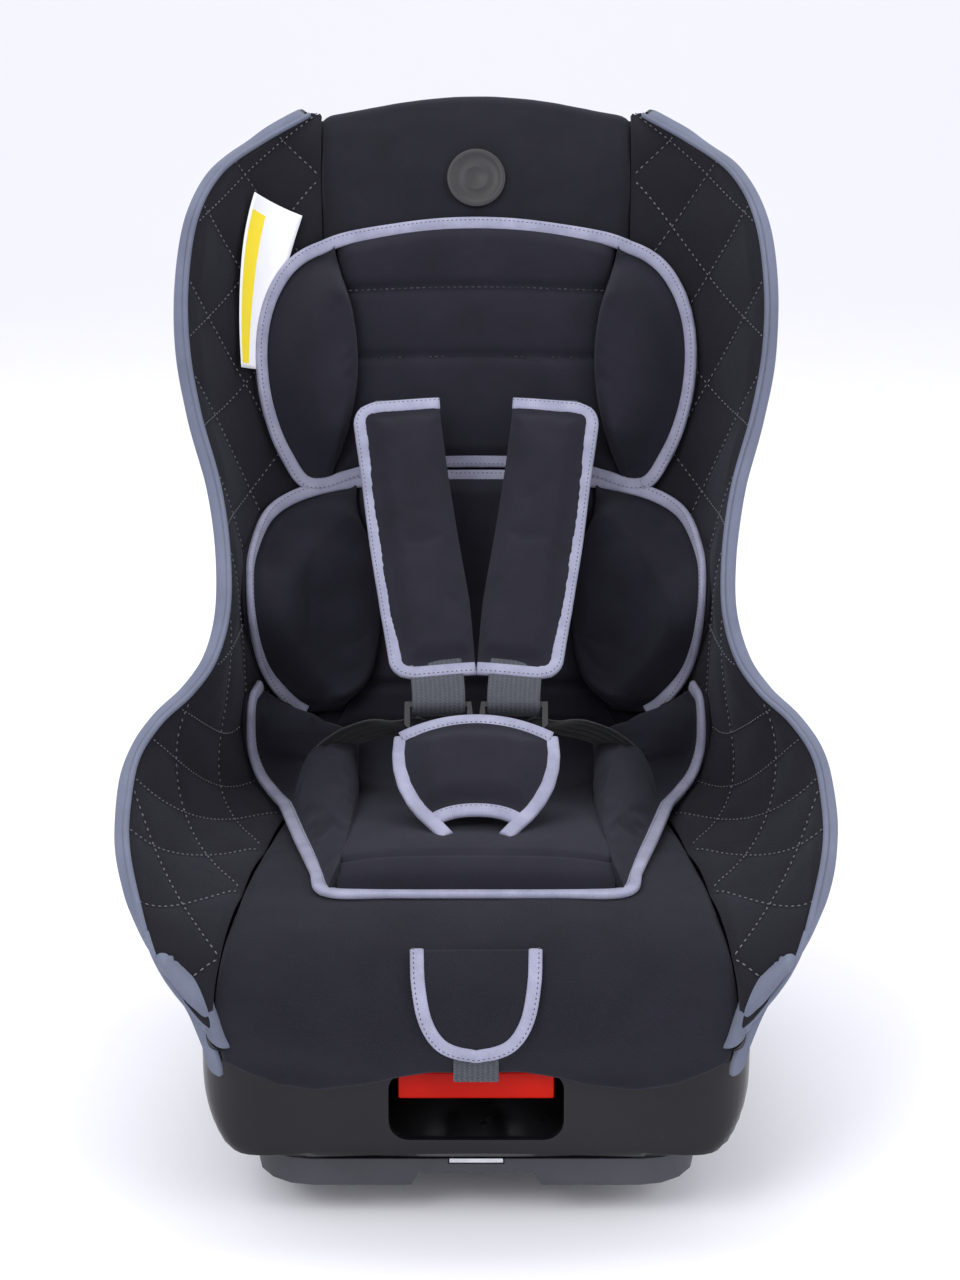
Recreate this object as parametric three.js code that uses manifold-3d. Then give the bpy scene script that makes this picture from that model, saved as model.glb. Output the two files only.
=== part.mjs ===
// Group 0+/1 convertible child car seat: moulded bucket shell with padded textile cover,
// infant inserts, five-point harness and a cradle base on which the shell reclines along an arc.
// Millimetres, +Z up, +Y towards the vehicle seat back, -Y towards the child's feet.
// The origin is the centre of the footprint on the surface that the base stands on.
import * as THREE from "three";
import { mergeVertices } from "three/addons/utils/BufferGeometryUtils.js";
import Module from "manifold-3d";

const wasm = await Module();
wasm.setup();

// ---------------------------------------------------------------- driving dimensions
// Recline cradle: belly, runners, rails and base are arcs about one lateral axis.
const CRADLE = { y: -165, z: 428 };
const R_BELLY = 407.6;
const R_RUNNER = [408, 410];
const R_RAIL = [410.5, 412.6];
const R_BASE = 413;
const ARC_STEP = 5; // degrees between the facets of an arc

// Bucket stations from the front hem, over the seat and up the back to the top.
// p: centre line (y, z); w: seam between centre and side panel (x, y, z); e: wing edge (x, y, z)
const STATIONS = [
  { p: [-236, 80], w: [146, -230, 84], e: [159, -226, 105] },
  { p: [-238, 102], w: [150, -231, 106], e: [168, -225, 127] },
  { p: [-232, 130], w: [150, -228, 130], e: [184, -219, 148] },
  { p: [-213, 151], w: [147, -210, 150], e: [196, -199, 178] },
  { p: [-180, 160], w: [143, -180, 159], e: [204, -172, 199] },
  { p: [-130, 160], w: [139, -130, 160], e: [207, -136, 213] },
  { p: [-70, 153], w: [134, -70, 155], e: [205, -100, 229] },
  { p: [-5, 145], w: [128, -5, 148], e: [194, -70, 241] },
  { p: [50, 141], w: [122, 50, 144], e: [178, -42, 250] },
  { p: [86, 150], w: [117, 85, 153], e: [166, -19, 263] },
  { p: [106, 180], w: [113, 105, 182], e: [159, 6, 286] },
  { p: [122, 230], w: [110, 121, 231], e: [160, 34, 319] },
  { p: [139, 290], w: [107, 138, 290], e: [167, 58, 358] },
  { p: [155, 345], w: [105, 154, 345], e: [180, 73, 403] },
  { p: [170, 400], w: [104, 169, 399], e: [187, 83, 443] },
  { p: [184, 450], w: [104, 183, 448], e: [188, 94, 482] },
  { p: [199, 500], w: [105, 197, 496], e: [183, 119, 522] },
  { p: [214, 542], w: [106, 212, 536], e: [170, 155, 547] },
  { p: [228, 570], w: [106, 225, 561], e: [144, 201, 563] },
  { p: [240, 588], w: [106, 236, 577], e: [114, 232, 577] },
];
const ROWS = 30; // grid rows over the stations
const HALF_COLUMNS = 8; // grid columns from the centre line to a wing edge
const SEAM = HALF_COLUMNS / 2; // column of the seam between centre and side panels

// Layers, as depths below the textile surface, away from the child.
const COVER = [0, 2.6];
const FOAM = [3.2, 9.2];
const SHELL = [10, 18];
const SKIN = [18.8, 21];
const RIM_ROUND = 0.75; // how far the rolled rim stands past the edge, in half thicknesses

// ---------------------------------------------------------------- colours
const finish = (color, roughness, metalness = 0) => ({ color, roughness, metalness });
const BLACK_CLOTH = finish(0x15141c, 0.95);
const QUILTED = finish(0x17161f, 0.95);
const GREY_CLOTH = finish(0x7d8498, 0.9);
const SHELL_BLACK = finish(0x0d0d10, 0.35);
const BASE_GREY = finish(0x3a3b45, 0.55);
const RED = finish(0xc41208, 0.4);
const STEEL = finish(0xa9acb2, 0.35, 1);
const WEBBING = finish(0x3d4350, 0.85);
const DARK_WEBBING = finish(0x1a1b21, 0.85);
const FOAM_WHITE = finish(0xdedede, 0.95);
const PLASTIC_BLACK = finish(0x101013, 0.5);

// ---------------------------------------------------------------- solids and meshes
const seat = new THREE.Group();

function place(name, geometry, look, parent = seat) {
  const mesh = new THREE.Mesh(geometry, new THREE.MeshStandardMaterial(look));
  mesh.name = name;
  parent.add(mesh);
  return mesh;
}

const WELD = 0.02; // the shortest edge kept after a cut

function toSolid(geometry) {
  let g = geometry.index ? geometry.toNonIndexed() : geometry.clone();
  g = new THREE.BufferGeometry().setAttribute("position", g.getAttribute("position"));
  g = mergeVertices(g, 1e-4);
  return new wasm.Manifold(
    new wasm.Mesh({
      numProp: 3,
      vertProperties: g.attributes.position.array,
      triVerts: new Uint32Array(g.index.array),
    }),
  );
}

// The largest body of a solid, as a geometry.
function toGeometry(solid) {
  const bodies = solid.decompose().sort((a, b) => b.volume() - a.volume());
  const mesh = bodies[0].simplify(WELD).getMesh();
  const points = new Float32Array(mesh.numVert * 3);
  for (let i = 0; i < mesh.numVert; i++) {
    points.set(mesh.vertProperties.subarray(i * mesh.numProp, i * mesh.numProp + 3), i * 3);
  }
  return new THREE.BufferGeometry()
    .setAttribute("position", new THREE.BufferAttribute(points, 3))
    .setIndex(new THREE.BufferAttribute(mesh.triVerts, 1));
}

function signedVolume(points, faces) {
  let sum = 0;
  for (const [a, b, c] of faces) sum += points[a].dot(points[b].clone().cross(points[c])) / 6;
  return sum;
}

// A closed solid between two grids of points with the same rows and columns.
function gridSolid(top, bottom) {
  const rows = top.length;
  const columns = top[0].length;
  const points = [...top.flat(), ...bottom.flat()];
  const at = (side, r, c) => side * rows * columns + r * columns + c;
  const faces = [];
  const quad = (a, b, c, d) => faces.push([a, b, c], [a, c, d]);
  for (let r = 0; r + 1 < rows; r++) {
    for (let c = 0; c + 1 < columns; c++) {
      quad(at(0, r, c), at(0, r, c + 1), at(0, r + 1, c + 1), at(0, r + 1, c));
      quad(at(1, r, c), at(1, r + 1, c), at(1, r + 1, c + 1), at(1, r, c + 1));
    }
    quad(at(0, r, 0), at(0, r + 1, 0), at(1, r + 1, 0), at(1, r, 0));
    const last = columns - 1;
    quad(at(0, r, last), at(1, r, last), at(1, r + 1, last), at(0, r + 1, last));
  }
  for (let c = 0; c + 1 < columns; c++) {
    quad(at(0, 0, c), at(1, 0, c), at(1, 0, c + 1), at(0, 0, c + 1));
    const last = rows - 1;
    quad(at(0, last, c), at(0, last, c + 1), at(1, last, c + 1), at(1, last, c));
  }
  if (signedVolume(points, faces) < 0) faces.forEach((f) => f.reverse());
  const positions = new Float32Array(points.flatMap((p) => [p.x, p.y, p.z]));
  return new THREE.BufferGeometry()
    .setAttribute("position", new THREE.BufferAttribute(positions, 3))
    .setIndex(faces.flat());
}

const vec = (x, y, z) => new THREE.Vector3(x, y, z);
const lerp = (a, b, t) => a + (b - a) * t;
const range = (from, to, steps) =>
  Array.from({ length: steps + 1 }, (_, i) => lerp(from, to, i / steps));
const degrees = (a) => (a * Math.PI) / 180;

// A prism of an outline drawn in (y, z) and extruded from x0 to x1.
function sidePrism(outline, x0, x1) {
  const shape = new THREE.Shape(outline.map(([y, z]) => new THREE.Vector2(y, z)));
  const g = new THREE.ExtrudeGeometry(shape, { depth: x1 - x0, bevelEnabled: false });
  // local x, y, z of the extrusion become world y, z, x
  g.applyMatrix4(new THREE.Matrix4().makeBasis(vec(0, 1, 0), vec(0, 0, 1), vec(1, 0, 0)));
  return g.translate(x0, 0, 0);
}

// A prism of an outline drawn in (x, y) and extruded from z0 to z1.
function planPrism(outline, z0, z1) {
  const shape = new THREE.Shape(outline.map(([x, y]) => new THREE.Vector2(x, y)));
  const g = new THREE.ExtrudeGeometry(shape, { depth: z1 - z0, bevelEnabled: false });
  return g.translate(0, 0, z0);
}

// A prism of an outline drawn in (x, z) and extruded from y0 to y1.
function frontPrism(outline, y0, y1, bevel = 0, holes = []) {
  const shape = new THREE.Shape(outline.map(([x, z]) => new THREE.Vector2(x, z)));
  for (const hole of holes) {
    shape.holes.push(new THREE.Path(hole.map(([x, z]) => new THREE.Vector2(x, z))));
  }
  const options = bevel
    ? { bevelEnabled: true, bevelSize: bevel, bevelThickness: bevel, bevelOffset: -bevel, bevelSegments: 1 }
    : { bevelEnabled: false };
  const g = new THREE.ExtrudeGeometry(shape, { depth: y1 - y0 - 2 * bevel, ...options });
  return g.translate(0, 0, bevel).rotateX(Math.PI / 2).translate(0, y1, 0);
}

function box(x0, x1, y0, y1, z0, z1) {
  const centre = [(x0 + x1) / 2, (y0 + y1) / 2, (z0 + z1) / 2];
  return new THREE.BoxGeometry(x1 - x0, y1 - y0, z1 - z0).translate(...centre);
}

// Corners of a rectangle rounded by radius, as [a, b] pairs.
function roundedRectangle(a0, a1, b0, b1, radius, steps = 3) {
  const corners = [
    [a1 - radius, b0 + radius, -90],
    [a1 - radius, b1 - radius, 0],
    [a0 + radius, b1 - radius, 90],
    [a0 + radius, b0 + radius, 180],
  ];
  return corners.flatMap(([a, b, start]) =>
    range(start, start + 90, steps).map((angle) => [
      a + radius * Math.cos(degrees(angle)),
      b + radius * Math.sin(degrees(angle)),
    ]),
  );
}

// Points (y, z) on an arc about the cradle axis; angles are from straight down, positive to the rear.
function cradleArc(radius, from, to) {
  const steps = Math.max(2, Math.round(Math.abs(to - from) / ARC_STEP));
  return range(from, to, steps).map((a) => [
    CRADLE.y + radius * Math.sin(degrees(a)),
    CRADLE.z - radius * Math.cos(degrees(a)),
  ]);
}

// A ring sector about the cradle axis between two radii, from x0 to x1.
function cradleSector(r0, r1, from, to, x0, x1) {
  return sidePrism([...cradleArc(r1, from, to), ...cradleArc(r0, to, from)], x0, x1);
}

const union = (...geometries) => geometries.map((g) => toSolid(g)).reduce((a, b) => a.add(b));
const mirrorX = (geometry) => {
  const g = geometry.index ? geometry.toNonIndexed() : geometry.clone();
  const p = g.attributes.position;
  for (let i = 0; i < p.count; i += 3) {
    const corners = [0, 1, 2].map((k) => [-p.getX(i + k), p.getY(i + k), p.getZ(i + k)]);
    [0, 2, 1].forEach((from, k) => p.setXYZ(i + k, ...corners[from]));
  }
  return new THREE.BufferGeometry().setAttribute("position", p);
};

// ---------------------------------------------------------------- the bucket surface
const curveOf = (points) => new THREE.CatmullRomCurve3(points, false, "centripetal");
const CENTRE_LINE = curveOf(STATIONS.map((s) => vec(0, ...s.p)));
const SEAM_LINE = curveOf(STATIONS.map((s) => vec(...s.w)));
const EDGE_LINE = curveOf(STATIONS.map((s) => vec(...s.e)));

function bezier(a, b, c, d, t) {
  const k = 1 - t;
  return a.clone().multiplyScalar(k * k * k)
    .addScaledVector(b, 3 * k * k * t)
    .addScaledVector(c, 3 * k * t * t)
    .addScaledVector(d, t * t * t);
}

// A point of the textile surface: u runs 0..1 from front hem to top, v runs -1..1 across.
function surface(u, v) {
  const side = Math.sign(v) || 1;
  const across = Math.abs(v);
  const p = CENTRE_LINE.getPoint(u);
  const w = SEAM_LINE.getPoint(u);
  const e = EDGE_LINE.getPoint(u);
  const outward = vec(1, 0, 0);
  let point;
  if (across <= 0.5) {
    const inner = p.clone().setX(w.x * 0.45);
    point = bezier(p, inner, w.clone().addScaledVector(outward, -0.3 * w.x), w, across * 2);
  } else {
    const rib = e.clone().sub(w);
    const reach = rib.length();
    const forward = vec(rib.x * 0.35, rib.y, rib.z).normalize();
    const start = w.clone().addScaledVector(outward, 0.42 * reach);
    const end = e.clone().addScaledVector(forward, -0.38 * reach);
    point = bezier(w, start, end, e, across * 2 - 1);
  }
  return point.setX(point.x * side);
}

// Unit normal of the surface, away from the child.
function away(u, v) {
  const h = 0.004;
  const du = surface(Math.min(1, u + h), v).sub(surface(Math.max(0, u - h), v));
  const dv = surface(u, Math.min(1, v + h)).sub(surface(u, Math.max(-1, v - h)));
  return du.cross(dv).normalize();
}

// The layers thin towards the wing edges.
const EDGE_THINNING = 0.6;
function thinning(v) {
  const t = Math.max(0, (Math.abs(v) - 0.55) / 0.45);
  return 1 - EDGE_THINNING * t * t * (3 - 2 * t);
}

function layer(u, v, depth) {
  return surface(u, v).addScaledVector(away(u, v), depth > 0 ? depth * thinning(v) : depth);
}
const rowAt = (i) => i / ROWS;
const columnAt = (j) => j / HALF_COLUMNS;

// A range of grid lines: its two ends and the whole numbers between them.
function gridLines([from, to]) {
  const lines = [from];
  for (let k = Math.floor(from) + 1; k < to; k++) lines.push(k);
  return [...lines, to];
}

// A sheet between two depths over a range of grid rows and columns.
function slab(rows, columns, depths) {
  const us = gridLines(rows).map(rowAt);
  const vs = gridLines(columns).map(columnAt);
  const at = (depth) => us.map((u) => vs.map((v) => layer(u, v, depth)));
  return gridSolid(at(depths[0]), at(depths[1]));
}

// The section of the rolled rim round a wing edge at u: from the front face to the outer skin.
function rimSection(u, side, thickness, backColumns) {
  const inner = [];
  const outer = [];
  const half = (SKIN[1] / 2) * thinning(1);
  const edge = surface(u, side);
  const normal = away(u, side);
  const along = surface(u, side).sub(surface(u, side * 0.96)).normalize();
  const centre = edge.clone().addScaledVector(normal, half);
  for (const angle of range(10, 180, 4)) {
    const a = degrees(angle);
    const radial = normal.clone().multiplyScalar(-Math.cos(a));
    radial.addScaledVector(along, Math.sin(a) * RIM_ROUND);
    outer.push(centre.clone().addScaledVector(radial, half));
    inner.push(centre.clone().addScaledVector(radial, half - thickness));
  }
  for (const j of backColumns) {
    const v = side * columnAt(j);
    outer.push(layer(u, v, SKIN[1]));
    inner.push(layer(u, v, SKIN[0]));
  }
  return { inner, outer };
}

// ---------------------------------------------------------------- soft parts on the surface
// Parameter u of the centre line point nearest to a given depth y or height z.
function uNear(key, value, from = 0, to = 1) {
  const us = range(from, to, 400);
  const miss = (u) => Math.abs(CENTRE_LINE.getPoint(u)[key] - value);
  return us.reduce((best, u) => (miss(u) < miss(best) ? u : best), us[0]);
}
const U_CREST = uNear("z", 160, 0, 0.35);
const U_CREASE = uNear("y", 82, 0.3, 0.6);
const uSeat = (y) => uNear("y", y, U_CREST, U_CREASE);
const uBack = (z) => uNear("z", z, U_CREASE, 1);
const uSkirt = (z) => uNear("z", z, 0, U_CREST);

// A crowned pad lying on the surface. v0 and v1 give its side limits at t = 0..1 from its u0 end.
function pad({ u0, u1, v0, v1, clear = 3, thick, rim = 4, rows = 8, columns = 6 }) {
  const top = [];
  const bottom = [];
  for (const t of range(0, 1, rows)) {
    const u = lerp(u0, u1, t);
    const crown = (k) => 1 - (2 * k - 1) ** 4;
    const vs = range(0, 1, columns).map((k) => [lerp(v0(t), v1(t), k), crown(k) * crown(t)]);
    bottom.push(vs.map(([v]) => layer(u, v, -clear)));
    top.push(vs.map(([v, swell]) => layer(u, v, -clear - rim - (thick - rim) * swell)));
  }
  return gridSolid(top, bottom);
}

// A flat webbing along a path. Each point is [x, y, z, ax, ay, az] with the direction across the webbing.
function webbing(points, width, thick) {
  const path = new THREE.CatmullRomCurve3(points.map((p) => vec(p[0], p[1], p[2])));
  const top = [];
  const bottom = [];
  const steps = 2 * (points.length - 1);
  for (let i = 0; i <= steps; i++) {
    const k = i / 2;
    const a = points[Math.floor(k)];
    const b = points[Math.ceil(k)];
    const tangent = path.getTangent(i / steps);
    const across = vec(a[3] + b[3], a[4] + b[4], a[5] + b[5]);
    across.addScaledVector(tangent, -across.dot(tangent)).normalize();
    const normal = tangent.clone().cross(across).normalize();
    const centre = path.getPoint(i / steps);
    const left = centre.clone().addScaledVector(across, -width / 2);
    const right = centre.clone().addScaledVector(across, width / 2);
    top.push([left, right].map((p) => p.clone().addScaledVector(normal, thick / 2)));
    bottom.push([left, right].map((p) => p.clone().addScaledVector(normal, -thick / 2)));
  }
  return gridSolid(top, bottom);
}

// ---------------------------------------------------------------- harness sizes
const WEB_WIDTH = 34;
const WEB_THICK = 1.6;
const SLOT_X = 52; // centre of a shoulder slot
const SLOT_Z = [389, 407];
const SHOULDER_SLOT = (side) => box(side * SLOT_X - 22, side * SLOT_X + 22, 60, 240, ...SLOT_Z);
const HIP_X = 101;
const HIP_SLOT = (side) => box(side * HIP_X - 15, side * HIP_X + 15, 58, 76, 60, 240);
const CROTCH_SLOT = box(-21, 21, -74, -60, 100, 240);
const ADJUSTER_SLOT = box(-24, 24, -300, -180, 103, 124);
const SIDE_SLOTS = [SHOULDER_SLOT(1), SHOULDER_SLOT(-1), HIP_SLOT(1), HIP_SLOT(-1)];
const ALL_SLOTS = [...SIDE_SLOTS, CROTCH_SLOT, ADJUSTER_SLOT];

function cut(geometry, cutters) {
  return toGeometry(cutters.reduce((solid, cutter) => solid.subtract(toSolid(cutter)), toSolid(geometry)));
}

// ---------------------------------------------------------------- base
const BASE = { halfWidth: 131, front: -213, rear: 168, radius: 34, wall: 4, rib: 5 };
const RAIL_X = [92, 108];
const HOOK_X = 62;
const HOOK_ANGLES = [13, 17];
const RECLINE = 16; // degrees
const LOCK_ANGLE = 10.8; // of the lock bar at rest
const LOCK_Y = CRADLE.y + R_BELLY * Math.sin(degrees(LOCK_ANGLE));
const RACK_ANGLES = [-6.6, 13];
const RACK_HALF = 16; // half the rack's width
const REAR_ANGLE = 43; // the cradle surface ends here and the base runs on level

function rearTop(radius) {
  const end = cradleArc(radius, 0, REAR_ANGLE).at(-1);
  return [...cradleArc(radius, -12, REAR_ANGLE), [BASE.rear + 40, end[1] + 6]];
}

function baseFrame() {
  const { halfWidth, front, rear, radius, wall, rib } = BASE;
  const plan = (inset) =>
    roundedRectangle(-halfWidth + inset, halfWidth - inset, front + inset, rear - inset, radius - inset, 4);
  const under = (r, floor) =>
    sidePrism([...rearTop(r), [rear + 40, floor], [-400, floor], [-400, 60]], -400, 400);
  const outer = toSolid(planPrism(plan(0), 0, 200)).intersect(toSolid(under(R_BASE, -10)));
  let hollow = toSolid(planPrism(plan(wall), -5, 200)).intersect(toSolid(under(R_BASE + wall, -20)));
  const ribs = union(box(-rib, rib, -300, 300, -10, 200), box(-300, 300, -rib, rib, -10, 200));
  hollow = hollow.subtract(ribs);
  const notch = frontPrism([[-45, -10], [45, -10], [34, 8], [-34, 8]], front - 5, front + 30);
  let frame = outer.subtract(hollow).subtract(toSolid(notch));
  for (const side of [1, -1]) {
    const xs = [side * HOOK_X - 7, side * HOOK_X + 7];
    const path = [HOOK_ANGLES[0] - RECLINE - 2, HOOK_ANGLES[1] + 2];
    frame = frame.subtract(toSolid(cradleSector(R_BASE - 5, R_BASE + 9, ...path, ...xs)));
  }
  return toGeometry(frame.subtract(rackSlot()));
}

function rackSlot() {
  const angles = [RACK_ANGLES[0] - 0.3, RACK_ANGLES[1] + 0.3];
  return toSolid(cradleSector(R_BASE - 4, R_BASE + 3.4, ...angles, -RACK_HALF - 0.4, RACK_HALF + 0.4));
}

function lockRack() {
  let rack = toSolid(cradleSector(R_BASE + 0.1, R_BASE + 3, ...RACK_ANGLES, -RACK_HALF, RACK_HALF));
  for (const step of [0, 1, 2, 3]) {
    const angle = LOCK_ANGLE - (step * RECLINE) / 3;
    rack = rack.subtract(toSolid(cradleSector(R_BASE - 4, R_BASE + 8, angle - 0.6, angle + 0.6, -13, 13)));
  }
  return toGeometry(rack);
}

place("base_frame", baseFrame(), BASE_GREY);
place("lock_rack", lockRack(), STEEL);
for (const [side, label] of [[1, "right"], [-1, "left"]]) {
  const xs = side > 0 ? RAIL_X : [-RAIL_X[1], -RAIL_X[0]];
  place(`rail_${label}`, cradleSector(...R_RAIL, -6, 42, ...xs), STEEL);
  place(`runner_${label}`, cradleSector(...R_RUNNER, -6, 42, ...xs), PLASTIC_BLACK);
}

// ---------------------------------------------------------------- seat shell
const TUB = { front: -228, rear: 166, halfFront: 164, halfRear: 148, wall: 5, top: 250 };
const CORNER = { y: -188, z: 97 }; // the tub is low in front of this corner
const RECESS = { halfWidth: 51, bottom: 38, top: 82 };
const BELT_SLOT = { y: [139, 157], z: [186, 232] };
const YOKE_WINDOW = [-34, 34, 90, 220, 60, 270]; // the way down for the adjuster strap

// Corners of a polygon cut back and rounded by a quadratic curve.
function roundedPolygon(points, radius, steps = 4) {
  const count = points.length;
  return points.flatMap(([px, py], i) => {
    const [ax, ay] = points[(i + count - 1) % count];
    const [bx, by] = points[(i + 1) % count];
    const la = Math.hypot(ax - px, ay - py);
    const lb = Math.hypot(bx - px, by - py);
    const from = [px + ((ax - px) * radius) / la, py + ((ay - py) * radius) / la];
    const to = [px + ((bx - px) * radius) / lb, py + ((by - py) * radius) / lb];
    return range(0, 1, steps).map((t) => [
      (1 - t) ** 2 * from[0] + 2 * t * (1 - t) * px + t * t * to[0],
      (1 - t) ** 2 * from[1] + 2 * t * (1 - t) * py + t * t * to[1],
    ]);
  });
}

// The tub under the bucket, solid, with every face moved in by inset.
function tubSolid(inset) {
  const { front, rear, halfFront, halfRear, top } = TUB;
  const f = halfFront - inset;
  const r = halfRear - inset;
  const [near, far] = [front + inset, rear - inset];
  const plan = [[-f, near], [f, near], [f, 0], [r, far], [-r, far], [-f, 0]];
  const section = [
    [-f, top + inset],
    ...range(0, 90, 5).map((a) => cornerPoint(-f, 6 + inset, 70, a, 1)),
    ...range(90, 0, 5).map((a) => cornerPoint(f, 6 + inset, 70, a, -1)),
    [f, top + inset],
  ];
  const side = [
    ...cradleArc(R_BELLY - inset, -14, 50),
    [rear - inset + 20, top + inset],
    [CORNER.y - inset, top + inset],
    [CORNER.y - inset, CORNER.z + inset],
    [front - 30, CORNER.z + inset],
  ];
  return toSolid(planPrism(roundedPolygon(plan, 42), 0, 300))
    .intersect(toSolid(frontPrism(section, -400, 400)))
    .intersect(toSolid(sidePrism(side, -400, 400)));
}

// A point of the rounded lower corner of the tub's section.
function cornerPoint(x, z, radius, angle, inward) {
  const a = degrees(angle);
  return [x + inward * radius * (1 - Math.cos(a)), z + radius * 0.9 * (1 - Math.sin(a))];
}

// The space on the child's side of the bucket, above the given depth.
function childSide(depth) {
  const us = range(0, ROWS, ROWS).map(rowAt);
  const vs = range(-HALF_COLUMNS, HALF_COLUMNS, 2 * HALF_COLUMNS).map(columnAt);
  const near = us.map((u) => vs.map((v) => layer(u, v, depth)));
  const far = near.map((row) => row.map((p) => p.clone().add(vec(0, -400, 250))));
  return toSolid(gridSolid(near, far));
}

// The space that a gusset's fabric needs on the outside of a wing.
function gussetSpace(side) {
  const columns = side > 0 ? [GUSSET_END - 0.15, HALF_COLUMNS] : [-HALF_COLUMNS, -GUSSET_END + 0.15];
  return toSolid(slab([0, ROWS], columns, [SHELL[1] - 2, 26]));
}
const GUSSET_END = 6; // column where a gusset's fabric ends on the outside of the shell

function seatShell() {
  const { wall, front } = TUB;
  let tub = tubSolid(0).subtract(tubSolid(wall)).subtract(childSide(SHELL[0] + 4));
  tub = tub.subtract(gussetSpace(1)).subtract(gussetSpace(-1));
  tub = tub.subtract(toSolid(box(-200, 200, ...BELT_SLOT.y, ...BELT_SLOT.z)));
  tub = tub.subtract(toSolid(box(...YOKE_WINDOW)));
  let shell = tub.add(toSolid(slab([0, ROWS], [-HALF_COLUMNS, HALF_COLUMNS], SHELL)));
  const { halfWidth, bottom, top } = RECESS;
  const recess = roundedRectangle(-halfWidth, halfWidth, bottom, top, 12);
  const cutters = [
    frontPrism(recess, front - 40, front + 20),
    box(-14, 14, LOCK_Y - 5, LOCK_Y + 5, 0, 60),
    ...ALL_SLOTS,
  ];
  for (const cutter of cutters) shell = shell.subtract(toSolid(cutter));
  return toGeometry(shell);
}
place("seat_shell", seatShell(), SHELL_BLACK);

// Hooks that hold the shell down: a stem through the base and a foot under its top wall.
for (const [side, label] of [[1, "right"], [-1, "left"]]) {
  const x = side * HOOK_X;
  const stem = cradleSector(R_BELLY + 0.3, R_BASE + 7, ...HOOK_ANGLES, x - 4, x + 4);
  const footAngles = [HOOK_ANGLES[0] - 0.5, HOOK_ANGLES[1] + 0.5];
  const foot = cradleSector(R_BASE + 4.6, R_BASE + 8, ...footAngles, x - 14, x + 14);
  place(`hold_down_hook_${label}`, toGeometry(union(stem, foot)), STEEL);
}

// ---------------------------------------------------------------- foams and cover
const CREASE_ROW = Math.round(U_CREASE * ROWS);
const SEAM_GAP = 0.03; // in columns
const WING_FOAM = { depths: [3.5, 8.4], rows: [4, ROWS - 3], columns: [SEAM + 1, HALF_COLUMNS - 1] };
place("foam_seat", cut(slab([3, CREASE_ROW], [-SEAM, SEAM], FOAM), ALL_SLOTS), FOAM_WHITE);
place("foam_back", cut(slab([CREASE_ROW + 1, ROWS - 1], [-SEAM, SEAM], FOAM), ALL_SLOTS), FOAM_WHITE);
place("cover_centre", cut(slab([0, ROWS], [-SEAM, SEAM], COVER), ALL_SLOTS), BLACK_CLOTH);
for (const [side, label] of [[1, "right"], [-1, "left"]]) {
  const span = (a, b) => (side > 0 ? [a, b] : [-b, -a]);
  const foam = slab(WING_FOAM.rows, span(...WING_FOAM.columns), WING_FOAM.depths);
  place(`foam_wing_${label}`, foam, FOAM_WHITE);
  place(`cover_side_${label}`, slab([0, ROWS], span(SEAM + SEAM_GAP, HALF_COLUMNS), COVER), QUILTED);
  place(`cover_gusset_${label}`, gusset(side), GREY_CLOTH);
}

function gusset(side) {
  const inner = [];
  const outer = [];
  for (const r of range(0, ROWS, ROWS)) {
    const section = rimSection(rowAt(r), side, 1, [HALF_COLUMNS - 1, GUSSET_END]);
    if (side > 0) section.inner.reverse();
    if (side > 0) section.outer.reverse();
    inner.push(section.inner);
    outer.push(section.outer);
  }
  return side > 0 ? gridSolid(outer, inner) : gridSolid(inner, outer);
}

// ---------------------------------------------------------------- infant inserts
const constant = (a) => () => a;
const ramp = (a, b) => (t) => lerp(a, b, t);
const sideways = (side, a, b) => (side > 0 ? { v0: a, v1: b } : { v0: (t) => -b(t), v1: (t) => -a(t) });
const seatInsert = pad({
  u0: uSeat(-128), u1: uSeat(62), v0: ramp(-0.34, -0.43), v1: ramp(0.34, 0.43), thick: 14,
});
place("seat_insert", cut(seatInsert, [CROTCH_SLOT, HIP_SLOT(1), HIP_SLOT(-1)]), BLACK_CLOTH);
place(
  "back_insert",
  pad({ u0: uBack(176), u1: uBack(345), v0: constant(-0.4), v1: constant(0.4), thick: 18 }),
  BLACK_CLOTH,
);
const headInsert = pad({
  u0: uBack(352), u1: uBack(500), v0: ramp(-0.38, -0.44), v1: ramp(0.38, 0.44), thick: 20,
});
place("head_insert", cut(headInsert, [SHOULDER_SLOT(1), SHOULDER_SLOT(-1)]), BLACK_CLOTH);
const BOLSTERS = {
  seat: { u0: uSeat(-118), u1: uSeat(36), a: ramp(0.36, 0.45), b: ramp(0.5, 0.74), thick: 40 },
  back: { u0: uBack(200), u1: uBack(340), a: constant(0.42), b: ramp(0.7, 0.66), thick: 40 },
  head: { u0: uBack(356), u1: uBack(494), a: ramp(0.4, 0.46), b: constant(0.64), thick: 42 },
};
for (const [side, label] of [[1, "right"], [-1, "left"]]) {
  for (const [kind, { u0, u1, a, b, thick }] of Object.entries(BOLSTERS)) {
    const bolster = pad({ u0, u1, ...sideways(side, a, b), thick, rim: 10, clear: 6 });
    place(`${kind}_bolster_${label}`, bolster, BLACK_CLOTH);
  }
}

// ---------------------------------------------------------------- buckle on the crotch strap
const BUCKLE = { y: -58, z: 176, lean: -42 };
const buckle = new THREE.Group();
buckle.position.set(0, BUCKLE.y, BUCKLE.z);
buckle.rotation.x = degrees(BUCKLE.lean);
seat.add(buckle);

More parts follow.
